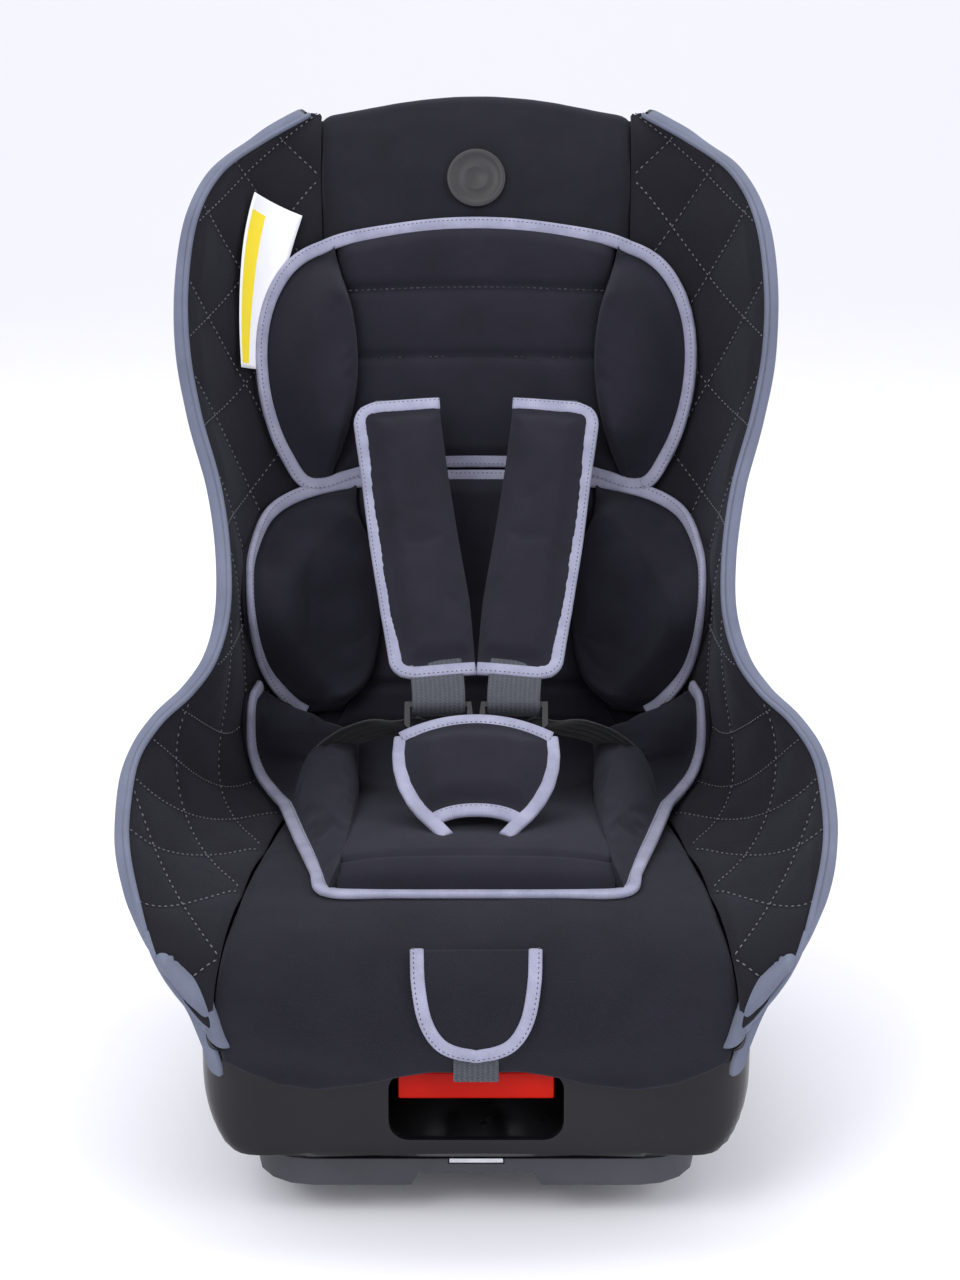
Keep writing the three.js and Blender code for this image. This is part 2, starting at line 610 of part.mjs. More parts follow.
const BUCKLE_OUTLINE = roundedPolygon([[-21, 2], [21, 2], [26, 50], [-26, 50]], 8, 3);
const BUCKLE_HOLLOW = roundedPolygon([[-17, 6], [17, 6], [21.5, 55], [-21.5, 55]], 4, 2);
const BUTTON = { halfWidth: 12, z: [14, 32], y: [-12.4, -6.2], corner: 4 };
function buttonOutline(clear) {
  const half = BUTTON.halfWidth + clear;
  return roundedRectangle(-half, half, BUTTON.z[0] - clear, BUTTON.z[1] + clear, BUTTON.corner);
}
const buckleFront = cut(frontPrism(BUCKLE_OUTLINE, -11, -0.2, 1.5), [
  frontPrism(BUCKLE_HOLLOW, -7.5, 5),
  frontPrism(buttonOutline(0.4), -15, 5),
]);
const buckleRear = cut(frontPrism(BUCKLE_OUTLINE, 0.2, 9, 1.5), [
  frontPrism(BUCKLE_HOLLOW, -5, 6),
  box(-19.5, 19.5, 2.2, 5.2, -5, 20), // the way in for the crotch strap
]);
place("buckle_front", buckleFront, PLASTIC_BLACK, buckle);
place("buckle_rear", buckleRear, PLASTIC_BLACK, buckle);
place("buckle_button", frontPrism(buttonOutline(0), ...BUTTON.y, 0.8), RED, buckle);
place("button_spring", leafSpring(), STEEL, buckle);
place("buckle_latch", box(-15, 15, -2, 1.4, 7.5, 12), STEEL, buckle);
const TONGUE = [[0.6, 30], [12, 30], [14, 50.5], [40, 54], [46, 60], [46, 76], [3, 76], [0.6, 56]];
const TONGUE_SLOT = [[6, 58], [42, 58], [42, 72], [6, 72]];
for (const [side, label] of [[1, "right"], [-1, "left"]]) {
  const flip = (points) => (side > 0 ? points : points.map(([x, z]) => [-x, z]).reverse());
  const plate = frontPrism(flip(TONGUE), -1.2, 1.2, 0, [flip(TONGUE_SLOT)]);
  place(`tongue_${label}`, plate, STEEL, buckle);
}

// The bowed leaf spring behind the button, pressed flat: an arched strip across the buckle's length.
function leafSpring() {
  const arch = (lift) => range(16, 30, 6).map((z) => [lift - 2.4 * Math.sin((Math.PI * (z - 16)) / 14), z]);
  return sidePrism([...arch(-0.6), ...arch(0).reverse()], -4, 4);
}

// ---------------------------------------------------------------- webbing and pads
const ACROSS = [1, 0, 0];
for (const [side, label] of [[1, "right"], [-1, "left"]]) {
  const at = (x, y, z, across = ACROSS) => [side * x, y, z, side * across[0], across[1], across[2]];
  const harness = [
    at(21, 177, 300),
    at(30, 187, 335),
    at(44, 196, 370),
    at(50, 197, 389),
    at(SLOT_X, 187, 397),
    at(SLOT_X, 165, 399),
    at(SLOT_X, 140, 399),
    at(51, 120, 391),
    at(46, 100, 360),
    at(39, 70, 320),
    at(31, 36, 283),
    at(27, 14, 260),
    at(25, 0, 247.5),
    at(24, -8.3, 237.4),
    at(24, -12.4, 230.8),
    at(24, -10.6, 226.6),
    at(24, -8.5, 223.8),
  ];
  place(`harness_strap_${label}`, webbing(harness, WEB_WIDTH, WEB_THICK), WEBBING);
  const hip = [
    at(31, -1.8, 217.4),
    at(41, 3.5, 214, [0.95, -0.2, 0.2]),
    at(56, 17, 208, [0.6, -0.5, 0.6]),
    at(80, 36, 195, [0.7, -0.5, 0.5]),
    at(95, 54, 178, [0.9, -0.3, 0.2]),
    at(HIP_X, 65, 158, [1, 0, 0]),
    at(HIP_X, 67, 142, [1, 0, 0]),
    at(HIP_X, 67, 127, [1, 0, 0]),
  ];
  place(`hip_strap_${label}`, webbing(hip, 24, WEB_THICK), DARK_WEBBING);
  place(`hip_anchor_${label}`, box(side * HIP_X - 19, side * HIP_X + 19, 58, 76, 117, 120), STEEL);
  const padPath = [
    at(50.5, 118, 388),
    at(46, 100, 360),
    at(39, 70, 320),
    at(31, 36, 283),
    at(27, 14, 260),
    at(25.5, 3, 250),
  ];
  place(`shoulder_pad_${label}`, shoulderPad(padPath), BLACK_CLOTH);
}

// A shoulder pad, which lies on the child's side of the webbing.
function shoulderPad(path) {
  const [liftY, liftZ] = [-5.4, 4.5];
  const lifted = path.map(([x, y, z, ...across]) => [x, y + liftY, z + liftZ, ...across]);
  return webbing(lifted, 46, 8);
}

const crotchStrap = [
  [0, -67, 128, 1, 0, 0],
  [0, -67, 148, 1, 0, 0],
  [0, -66, 160, 1, 0, 0],
  [0, -61, 171, 1, 0, 0],
];
place("crotch_strap", webbing(crotchStrap, WEB_WIDTH - 2, WEB_THICK), WEBBING);
place("crotch_anchor", box(-28, 28, -77, -57, 122, 125), STEEL);
const CROTCH_PAD = [[-20, -6], [20, -6], [45, 34], [46, 62], [-46, 62], [-45, 34]];
const crotchPadOutline = roundedPolygon(CROTCH_PAD, 11, 3);
place("crotch_pad", frontPrism(crotchPadOutline, -26, -15, 3), BLACK_CLOTH, buckle);

// ---------------------------------------------------------------- yoke and adjuster
const yokePath = [[0, 176, 292, 1, 0, 0], [0, 172, 272, 1, 0, 0]];
place("yoke_plate", webbing(yokePath, 84, 2.4), STEEL);
const adjusterStrap = [
  [0, 169, 266, 1, 0, 0],
  [0, 158, 220, 1, 0, 0],
  [0, 147, 182, 1, 0, 0],
  [0, 129, 156, 1, 0, 0],
  [0, 107, 138, 1, 0, 0],
  [0, 60, 112, 1, 0, 0],
  [0, -60, 108, 1, 0, 0],
  [0, -160, 102, 1, 0, 0],
  [0, -205, 107.2, 1, 0, 0],
  [0, -222, 108.3, 1, 0, 0],
  [0, -237, 108.3, 1, 0, 0],
  [0, -240, 103, 1, 0, 0],
  [0, -240.6, 92, 1, 0, 0],
  [0, -240, 82, 1, 0, 0],
];
place("adjuster_strap", webbing(adjusterStrap, 30, WEB_THICK), WEBBING);
const ADJUSTER = { y: [-238, -214], z: [104, 122], x: 22, wall: 2, floor: 1.6 };
const housing = union(
  box(-ADJUSTER.x, -ADJUSTER.x + ADJUSTER.wall, ...ADJUSTER.y, ...ADJUSTER.z),
  box(ADJUSTER.x - ADJUSTER.wall, ADJUSTER.x, ...ADJUSTER.y, ...ADJUSTER.z),
  box(-ADJUSTER.x, ADJUSTER.x, ...ADJUSTER.y, ADJUSTER.z[0], ADJUSTER.z[0] + ADJUSTER.floor),
);
const ADJUSTER_AXIS = { y: -224, z: 116 };
const pinAt = (radius, x0, x1) =>
  new THREE.CylinderGeometry(radius, radius, x1 - x0, 12)
    .rotateZ(Math.PI / 2)
    .translate((x0 + x1) / 2, ADJUSTER_AXIS.y, ADJUSTER_AXIS.z);
place("adjuster_housing", toGeometry(housing.subtract(toSolid(pinAt(2.3, -30, 30)))), STEEL);
place("adjuster_pin", pinAt(2, -23.5, 23.5), STEEL);
const CAM = [
  [-241, 115.5], [-238, 120], [-226, 121.5], [-219, 120], [-217, 115], [-220, 110.6], [-226, 111],
];
place("adjuster_button", cut(sidePrism(CAM, -18, 18), [pinAt(2.3, -30, 30)]), SHELL_BLACK);

// The textile flap over the adjuster: a tongue of cloth sewn on above it.
const FLAP = { z: [150, 103.5], half: 0.098, lifts: [6, 9.4], steps: 8 };
function adjusterFlap() {
  const us = range(...FLAP.z.map(uSkirt), FLAP.steps);
  const half = (t) => FLAP.half * Math.min(1, Math.sqrt(Math.max(0.12, (1.04 - t) * 3.2)));
  const at = (lift) =>
    us.map((u, i) => range(-1, 1, 6).map((k) => layer(u, k * half(i / FLAP.steps), -lift)));
  return gridSolid(...FLAP.lifts.map(at));
}
place("adjuster_flap", adjusterFlap(), BLACK_CLOTH);

// ---------------------------------------------------------------- recline handle and lock
const HANDLE = { halfWidth: 45.5, y: [-222, -206], z: [60, 79] };
const STEM = { halfWidth: 14, z: [66, 73] };
const HANDLE_CORNERS = [
  [HANDLE.y[0], HANDLE.z[0]],
  [HANDLE.y[1], HANDLE.z[0]],
  [HANDLE.y[1], HANDLE.z[1]],
  [HANDLE.y[0], HANDLE.z[1]],
];
const grip = sidePrism(roundedPolygon(HANDLE_CORNERS, 5, 2), -HANDLE.halfWidth, HANDLE.halfWidth);
const handleStem = box(-STEM.halfWidth, STEM.halfWidth, HANDLE.y[1] - 2, LOCK_Y - 12, ...STEM.z);
place("recline_handle", toGeometry(union(grip, handleStem)), RED);
const guide = cut(box(-20, 20, -190, LOCK_Y + 9, 58, 81), [
  box(-STEM.halfWidth - 1, STEM.halfWidth + 1, -200, LOCK_Y + 20, STEM.z[0] - 1, STEM.z[1] + 1),
  box(-12.6, 12.6, LOCK_Y - 4, LOCK_Y + 4, 50, 90), // the way through for the lock bar
]);
place("handle_guide", guide, PLASTIC_BLACK);
const LOCK_TIP = CRADLE.z - 412 * Math.cos(degrees(LOCK_ANGLE)) + 1;
place("lock_bar", box(-12, 12, LOCK_Y - 3, LOCK_Y + 3, LOCK_TIP, 64), STEEL);

// ---------------------------------------------------------------- belt clamps and badge
const CLAMP = { y: [134, 162], z: [188, 240], x: [152.6, 159] };
for (const [side, label] of [[1, "right"], [-1, "left"]]) {
  const xs = (a, b) => (side > 0 ? [a, b] : [-b, -a]);
  const lever = roundedRectangle(...CLAMP.y, ...CLAMP.z, 6);
  place(`belt_clamp_${label}`, sidePrism(lever, ...xs(...CLAMP.x)), RED);
}
const BADGE_U = uBack(535);
const badge = new THREE.CylinderGeometry(20, 20, 2, 24);
const badgeMesh = place("badge", badge, PLASTIC_BLACK);
badgeMesh.position.copy(layer(BADGE_U, 0, -2.4));
badgeMesh.quaternion.setFromUnitVectors(vec(0, 1, 0), away(BADGE_U, 0));

export default seat;
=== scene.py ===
"""A convertible child car seat: soft goods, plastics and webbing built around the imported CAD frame.

Everything is in metres in the frame's own axes: +Z up, -Y towards the child's feet, +X to the right.
The bucket's textile surface is one parametric surface: u runs 0..1 from the front hem, over the seat
and up the back to the top edge, and v runs -1..1 across, with the seams at -0.5 and 0.5.
"""
import math

import bmesh
import bpy
import numpy as np
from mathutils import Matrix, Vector, noise
from mathutils.bvhtree import BVHTree


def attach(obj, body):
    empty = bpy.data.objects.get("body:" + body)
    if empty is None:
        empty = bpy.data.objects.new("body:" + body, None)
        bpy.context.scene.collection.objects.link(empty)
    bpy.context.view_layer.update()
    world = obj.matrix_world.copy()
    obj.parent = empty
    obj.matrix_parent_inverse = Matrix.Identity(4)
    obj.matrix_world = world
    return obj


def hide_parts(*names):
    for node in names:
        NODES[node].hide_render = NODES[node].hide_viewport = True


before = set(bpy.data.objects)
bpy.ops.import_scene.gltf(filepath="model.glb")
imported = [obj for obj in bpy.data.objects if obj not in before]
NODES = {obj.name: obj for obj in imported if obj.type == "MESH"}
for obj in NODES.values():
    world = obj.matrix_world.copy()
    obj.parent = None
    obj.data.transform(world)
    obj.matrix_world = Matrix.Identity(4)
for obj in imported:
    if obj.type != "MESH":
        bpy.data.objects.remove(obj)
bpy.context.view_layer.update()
MM = 0.001
UV_LAYER = "cloth"
SIDES = (("right", 1), ("left", -1))

# ---------------- driving dimensions, in millimetres
# Bucket stations from the front hem to the top: centre (y, z), seam (x, y, z), wing edge (x, y, z).
STATIONS = [
    ((-236, 80), (146, -230, 84), (159, -226, 105)),
    ((-238, 102), (150, -231, 106), (168, -225, 127)),
    ((-232, 130), (150, -228, 130), (184, -219, 148)),
    ((-213, 151), (147, -210, 150), (196, -199, 178)),
    ((-180, 160), (143, -180, 159), (204, -172, 199)),
    ((-130, 160), (139, -130, 160), (207, -136, 213)),
    ((-70, 153), (134, -70, 155), (205, -100, 229)),
    ((-5, 145), (128, -5, 148), (194, -70, 241)),
    ((50, 141), (122, 50, 144), (178, -42, 250)),
    ((86, 150), (117, 85, 153), (166, -19, 263)),
    ((106, 180), (113, 105, 182), (159, 6, 286)),
    ((122, 230), (110, 121, 231), (160, 34, 319)),
    ((139, 290), (107, 138, 290), (167, 58, 358)),
    ((155, 345), (105, 154, 345), (180, 73, 403)),
    ((170, 400), (104, 169, 399), (187, 83, 443)),
    ((184, 450), (104, 183, 448), (188, 94, 482)),
    ((199, 500), (105, 197, 496), (183, 119, 522)),
    ((214, 542), (106, 212, 536), (170, 155, 547)),
    ((228, 570), (106, 225, 561), (144, 201, 563)),
    ((240, 588), (106, 236, 577), (114, 232, 577)),
]
CENTRE = np.array([(0, *p) for p, w, e in STATIONS]) * MM
SEAM = np.array([w for p, w, e in STATIONS]) * MM
EDGE = np.array([e for p, w, e in STATIONS]) * MM
RIGHT = np.array([1.0, 0, 0])
SKIN_DEPTH = 21  # the outer skin of the bucket
SHELL_DEPTHS = (10, 18)
EDGE_THINNING = 0.6  # the layers thin towards the wing edges
BELOW_HEM = 0.42  # metres down for each unit of u below 0
U_TO_V = 4.6  # one unit of u is about this many units of v on the cloth
NORMAL_STEP = 0.004  # in u and v, each way, for the surface normals


# ---------------- curves and the bucket surface
def catmull(points, t):
    """The centripetal Catmull-Rom curve through points, at parameters t from 0 to 1."""
    points = np.asarray(points, float)
    ends = np.vstack([2 * points[0] - points[1], points, 2 * points[-1] - points[-2]])
    spans = len(points) - 1
    place = np.clip(np.asarray(t, float), 0, 1) * spans
    i = np.clip(place.astype(int), 0, spans - 1)
    w = (place - i)[..., None]
    a, b, c, d = (ends[i + k] for k in range(4))
    ab, bc, cd = (np.linalg.norm(q - p, axis=-1, keepdims=True) ** 0.5 for p, q in ((a, b), (b, c), (c, d)))
    t1 = ((b - a) / ab - (c - a) / (ab + bc) + (c - b) / bc) * bc
    t2 = ((c - b) / bc - (d - b) / (bc + cd) + (d - c) / cd) * bc
    return b + t1 * w + (3 * (c - b) - 2 * t1 - t2) * w**2 + (2 * (b - c) + t1 + t2) * w**3


def bezier(a, b, c, d, t):
    k = 1 - t
    return k**3 * a + 3 * k * k * t * b + 3 * k * t * t * c + t**3 * d


def surface(u, v):
    """Points of the textile surface. Below u 0 it runs on straight down."""
    u, v = np.broadcast_arrays(np.asarray(u, float), np.asarray(v, float))
    p, w, e = (catmull(line, u) for line in (CENTRE, SEAM, EDGE))
    across = np.abs(v)[..., None]
    inner = p.copy()
    inner[..., 0] = w[..., 0] * 0.45
    middle = bezier(p, inner, w - 0.3 * w[..., :1] * RIGHT, w, across * 2)
    rib = e - w
    reach = np.linalg.norm(rib, axis=-1, keepdims=True)
    forward = unit(rib * (0.35, 1, 1))
    wing = bezier(w, w + 0.42 * reach * RIGHT, e - 0.38 * reach * forward, e, across * 2 - 1)
    point = np.where(across <= 0.5, middle, wing)
    point[..., 0] *= np.where(v < 0, -1, 1)
    point[..., 2] += np.minimum(u, 0) * BELOW_HEM
    return point


def unit(a):
    return a / np.maximum(np.linalg.norm(a, axis=-1, keepdims=True), 1e-12)


def away(u, v):
    """Unit normals of the surface, away from the child."""
    h = NORMAL_STEP
    u, v = np.broadcast_arrays(np.clip(np.asarray(u, float), 0, 1), np.asarray(v, float))
    du = surface(np.minimum(u + h, 1), v) - surface(np.maximum(u - h, 0), v)
    dv = surface(u, np.minimum(v + h, 1)) - surface(u, np.maximum(v - h, -1))
    return unit(np.cross(du, dv))


def thinning(v):
    t = np.clip((np.abs(v) - 0.55) / 0.45, 0, 1)
    return 1 - EDGE_THINNING * t * t * (3 - 2 * t)


def layer(u, v, depth):
    """Points at a depth in millimetres behind the surface; a negative depth stands towards the child."""
    u, v, depth = np.broadcast_arrays(*(np.asarray(a, float) for a in (u, v, depth)))
    depth = np.where(depth > 0, depth * thinning(v), depth)
    return surface(u, v) + away(u, v) * depth[..., None] * MM


def lengths(path, closed=False):
    """Distance along a path at each of its points."""
    ends = np.vstack([path, path[:1]]) if closed else path
    return np.concatenate([[0], np.cumsum(np.linalg.norm(np.diff(ends, axis=0), axis=1))])


def tangents(path, closed=False):
    return unit(np.roll(path, -1, 0) - np.roll(path, 1, 0) if closed else np.gradient(path, axis=0))


def resample(path, step, *others, closed=False):
    """The path, and arrays that go with it, at even steps of about step metres."""
    along = lengths(path, closed)
    count = max(2, int(round(along[-1] / step)) + 1)
    at = np.linspace(0, along[-1], count)
    if closed:
        at = at[:-1]
    result = []
    for a in (path, *others):
        a = np.vstack([a, a[:1]]) if closed else a
        result.append(np.stack([np.interp(at, along, a[:, k]) for k in range(a.shape[1])], -1))
    return result if others else result[0]


def uv_line(points, count, closed=False):
    """A smooth line through (u, v) control points, evenly spaced over the surface."""
    points = np.array(points, float)
    start = 0
    if closed:
        points = np.vstack([points[-2:], points, points[:3]])
        start = 2 / (len(points) - 1)
    dense = scaled_catmull(points, np.linspace(start, 1 - start, 40 * len(points)))
    along = lengths(surface(dense[:, 0], dense[:, 1]))
    at = np.linspace(0, along[-1], count)
    return np.stack([np.interp(at, along, dense[:, k]) for k in (0, 1)], -1)


def scaled_catmull(points, t):
    scale = np.array([U_TO_V, 1.0])
    return catmull(points * scale, t) / scale


# ---------------- mesh building
def add_object(name, points, faces, look, uv=None, recalculate=True):
    """A smooth-shaded mesh object from points, faces and per-point cloth coordinates in metres."""
    mesh = bpy.data.meshes.new(name)
    mesh.from_pydata(np.asarray(points, float).tolist(), [], faces)
    if uv is not None:
        cloth = mesh.uv_layers.new(name=UV_LAYER)
        loops = np.zeros(len(mesh.loops), int)
        mesh.loops.foreach_get("vertex_index", loops)
        cloth.data.foreach_set("uv", np.asarray(uv, float)[loops].ravel())
    if recalculate:
        shape = bmesh.new()
        shape.from_mesh(mesh)
        bmesh.ops.recalc_face_normals(shape, faces=shape.faces)
        shape.to_mesh(mesh)
        shape.free()
    mesh.polygons.foreach_set("use_smooth", np.ones(len(mesh.polygons), bool))
    mesh.materials.append(look)
    obj = bpy.data.objects.new(name, mesh)
    bpy.context.scene.collection.objects.link(obj)
    return obj


def grid_quads(rows, columns, around=False, closed=False):
    """Faces of a grid of points. around joins its last column to the first, and closed its last row."""
    index = np.arange(rows * columns).reshape(rows, columns)
    if around:
        index = np.hstack([index, index[:, :1]])
    if closed:
        index = np.vstack([index, index[:1]])
    corners = [index[:-1, :-1], index[:-1, 1:], index[1:, 1:], index[1:, :-1]]
    return np.stack(corners, -1).reshape(-1, 4)


def grid_uv(grid):
    """Cloth coordinates of a grid of points: metres across and along its middle lines."""
    rows, columns = grid.shape[:2]
    across = lengths(grid[rows // 2])
    along = lengths(grid[:, columns // 2])
    return np.stack(np.meshgrid(across, along), -1).reshape(-1, 2)


def pad_mesh(name, top, bottom, look):
    """A closed solid between two grids of points of the same size."""
    rows, columns = top.shape[:2]
    count = rows * columns
    quads = grid_quads(rows, columns)
    faces = quads.tolist() + (quads[:, ::-1] + count).tolist()
    index = np.arange(count).reshape(rows, columns)
    ring = np.concatenate([index[0, :-1], index[:-1, -1], index[-1, :0:-1], index[:0:-1, 0]])
    after = np.roll(ring, -1)
    faces += np.stack([ring, ring + count, after + count, after], -1).tolist()
    points = np.concatenate([top.reshape(-1, 3), bottom.reshape(-1, 3)])
    uv = np.tile(grid_uv(top), (2, 1))
    return add_object(name, points, faces, look, uv)


SKIN_BORDER = 0.35  # the thickness of a skin's border, as a share of the whole


def grid_normals(grid):
    du = np.gradient(grid, axis=0)
    dv = np.gradient(grid, axis=1)
    return unit(np.cross(du, dv))


def skin_mesh(name, grid, thickness, look):
    """A sheet of some thickness, in millimetres, behind a grid of points. It thins at its borders."""
    normal = grid_normals(grid)
    inset = np.full(grid.shape[:2], SKIN_BORDER)
    inset[1:-1, 1:-1] = 1
    middle = grid + normal * thickness / 2 * MM
    half = normal * (thickness / 2 * MM * inset)[..., None]
    return pad_mesh(name, middle - half, middle + half, look)


def sweep(name, path, normal, section, look, closed=False):
    """A closed section, as (across, outward) offsets in metres, carried along a path."""
    tangent = tangents(path, closed)
    across = unit(np.cross(tangent, normal))
    outward = np.cross(across, tangent)
    rings = path[:, None] + across[:, None] * section[:, :1] + outward[:, None] * section[:, 1:]
    around = len(section)
    faces = grid_quads(len(path), around, around=True, closed=closed).tolist()
    if not closed:
        last = (len(path) - 1) * around
        faces += [list(range(around))[::-1], list(range(last, last + around))]
    around_at = lengths(section, closed=True)[:-1]
    along_at = lengths(path)
    uv = np.stack(np.meshgrid(around_at, along_at), -1).reshape(-1, 2)
    return add_object(name, rings.reshape(-1, 3), faces, look, uv)


def oval(width, height, power, count):
    """A flattened oval section of so many points, in millimetres. A higher power is squarer."""
    a = np.linspace(0, 2 * math.pi, count, endpoint=False)
    x = np.sign(np.cos(a)) * np.abs(np.cos(a)) ** (2 / power) * width / 2
    y = np.sign(np.sin(a)) * np.abs(np.sin(a)) ** (2 / power) * height / 2
    return np.stack([x, y], -1) * MM


def stitches(name, paths, look, length=3.4, gap=2.4, width=0.9, height=0.7):
    """Stitches along paths, each path a pair of points and outward normals. One mesh holds them all."""
    points, faces = [], []
    for path, normal in paths:
        path, normal = resample(path, (length + gap) * MM, normal)
        tangent = tangents(path)
        across = unit(np.cross(tangent, normal))
        for p, t, a, n in zip(path, tangent, across, unit(normal)):
            start = len(points)
            half = t * length / 2 * MM
            side = a * width / 2 * MM
            points += [p - half, p + half, p - half / 2 + side, p + half / 2 + side]
            points += [p - half / 2 - side, p + half / 2 - side, p + n * height * MM, p - n * height * MM]
            shape = [(0, 2, 6), (2, 3, 6), (3, 1, 6), (1, 5, 6), (5, 4, 6), (4, 0, 6)]
            shape += [(second, first, 7) for first, second, _ in shape]
            faces += [tuple(start + k for k in face) for face in shape]
    return add_object(name, points, faces, look, recalculate=False)


BEVEL_ANGLE = math.radians(32)  # sharper edges of the plastic and steel parts are rounded


def moulded(name, look, bevel):
    """A copy of a CAD node with its sharp edges rounded, which stands for the node."""
    obj = bpy.data.objects.new(name + "_moulded", NODES[name].data.copy())
    bpy.context.scene.collection.objects.link(obj)
    obj.matrix_world = NODES[name].matrix_world.copy()
    shape = bmesh.new()
    shape.from_mesh(obj.data)
    bmesh.ops.remove_doubles(shape, verts=shape.verts, dist=1e-5)
    bmesh.ops.dissolve_limit(shape, angle_limit=math.radians(1), verts=shape.verts, edges=shape.edges)
    shape.to_mesh(obj.data)
    shape.free()
    for attribute in ("custom_normal", "sharp_face"):
        if attribute in obj.data.attributes:
            obj.data.attributes.remove(obj.data.attributes[attribute])
    obj.data.polygons.foreach_set("use_smooth", np.ones(len(obj.data.polygons), bool))
    rounding = obj.modifiers.new("Rounding", "BEVEL")
    rounding.width = bevel * MM
    rounding.segments = 2
    rounding.limit_method = "ANGLE"
    rounding.angle_limit = BEVEL_ANGLE
    rounding.harden_normals = True
    obj.data.materials.clear()
    obj.data.materials.append(look)
    return obj


def wobble(points, size, seed):
    """Smooth noise from -1 to 1 at each point; size is the scale in metres."""
    flat = points.reshape(-1, 3)
    shift = Vector((seed, 2.7 * seed, 1.3 * seed))
    values = [noise.noise(Vector(p) / size + shift) for p in flat]
    return np.array(values).reshape(points.shape[:-1])


# ---------------- materials
class Look:
    """A procedural material: a Principled shader and short helpers for its nodes."""

    def __init__(self, name, **values):
        self.material = bpy.data.materials.new(name)
        self.material.use_nodes = True
        self.tree = self.material.node_tree
        self.shader = self.tree.nodes["Principled BSDF"]
        for key, value in values.items():
            self.shader.inputs[key.replace("_", " ")].default_value = value

    def node(self, kind, *links, **values):
        """A node; links go to its inputs in order, and None leaves an input as it is."""
        made = self.tree.nodes.new(kind)
        for key, value in values.items():
            if hasattr(made, key):
                setattr(made, key, value)
            else:
                made.inputs[key.replace("_", " ")].default_value = value
        for socket, link in zip(made.inputs, links):
            if link is not None:
                self.tree.links.new(link, socket)
        return made

    def math(self, operation, a, b=None):
        made = self.tree.nodes.new("ShaderNodeMath")
        made.operation = operation
        for socket, value in zip(made.inputs, (a, b)):
            if isinstance(value, (int, float)):
                socket.default_value = value
            elif value is not None:
                self.tree.links.new(value, socket)
        return made.outputs[0]

    def blend(self, *terms):
        """The sum of several sockets, each with its share."""
        total = None
        for socket, share in terms:
            part = self.math("MULTIPLY", socket, share)
            total = part if total is None else self.math("ADD", total, part)
        return total

    def cloth(self):
        """Cloth coordinates in metres, as separate x and y sockets."""
        uv = self.node("ShaderNodeUVMap", uv_map=UV_LAYER)
        parts = self.node("ShaderNodeSeparateXYZ", uv.outputs[0])
        return uv.outputs[0], parts.outputs[0], parts.outputs[1]

    def place(self):
        return self.node("ShaderNodeTexCoord").outputs["Object"]

    def noise(self, vector, scale, detail=3.0, roughness=0.55):
        made = self.node("ShaderNodeTexNoise", vector, Scale=scale, Detail=detail, Roughness=roughness)
        return made.outputs[0]

    def wave(self, value, period):
        """A sine from -1 to 1 along a value in metres."""
        return self.math("SINE", self.math("MULTIPLY", value, 2 * math.pi / (period * MM)))

    def ramp(self, value, low, high):
        """The value mapped from 0..1 onto low..high."""
        return self.node("ShaderNodeMapRange", value, To_Min=low, To_Max=high).outputs[0]

    def colours(self, value, first, second, at=(0.3, 0.7)):
        made = self.node("ShaderNodeValToRGB", value)
        for element, place, colour in zip(made.color_ramp.elements, at, (first, second)):
            element.position = place
            element.color = (*colour, 1)
        self.tree.links.new(made.outputs[0], self.shader.inputs["Base Color"])

    def rough(self, value, low, high):
        self.tree.links.new(self.ramp(value, low, high), self.shader.inputs["Roughness"])

    def bump(self, *layers):
        """Bumps one on the other, each a height socket and its depth in millimetres."""
        normal = None
        for height, depth in layers:
            made = self.node("ShaderNodeBump", Strength=1.0, Distance=depth * MM)
            self.tree.links.new(height, made.inputs["Height"])
            if normal is not None:
                self.tree.links.new(normal, made.inputs["Normal"])
            normal = made.outputs[0]
        self.tree.links.new(normal, self.shader.inputs["Normal"])


def knit(name, dark, light, pitch=1.5, depth=0.16, sheen=0.08, tint=(0.62, 0.62, 0.8)):
    """Fine twill-knitted polyester: diagonal ribs crossed by stitches, soft mottling and a short nap."""
    look = Look(name, Roughness=0.9, Sheen_Weight=sheen, Sheen_Roughness=0.45, Specular_IOR_Level=0.25)
    look.shader.inputs["Sheen Tint"].default_value = (*tint, 1)
    vector, x, y = look.cloth()
    rib = look.wave(look.math("ADD", x, y), pitch)
    course = look.wave(look.math("SUBTRACT", y, look.math("MULTIPLY", x, 0.5)), pitch * 0.8)
    weave = look.blend((rib, 0.6), (course, 0.4))
    fibres = look.noise(vector, 2600.0, 2.0)
    mottle = look.noise(look.place(), 28.0, 4.0)
    tone = look.blend((weave, 0.16), (mottle, 0.7), (fibres, 0.25))
    look.colours(tone, dark, light, (0.2, 0.75))
    look.bump((mottle, 0.5), (look.ramp(weave, 0, 1), depth), (fibres, 0.05))
    return look.material


def tape(name, dark, light):
    """Woven binding tape with fine cross ribs."""
    look = Look(name, Roughness=0.75, Sheen_Weight=0.12, Sheen_Roughness=0.4, Specular_IOR_Level=0.3)
    x, y = look.cloth()[1:]
    pitch = 1.1
    ribs = look.wave(y, pitch)
    threads = look.wave(x, pitch * 0.6)
    weave = look.blend((ribs, 0.6), (threads, 0.4))
    mottle = look.noise(look.place(), 60.0)
    tone = look.blend((weave, 0.12), (mottle, 0.8))
    look.colours(tone, dark, light, (0.25, 0.7))
    look.bump((mottle, 0.3), (look.ramp(weave, 0, 1), 0.12))
    return look.material


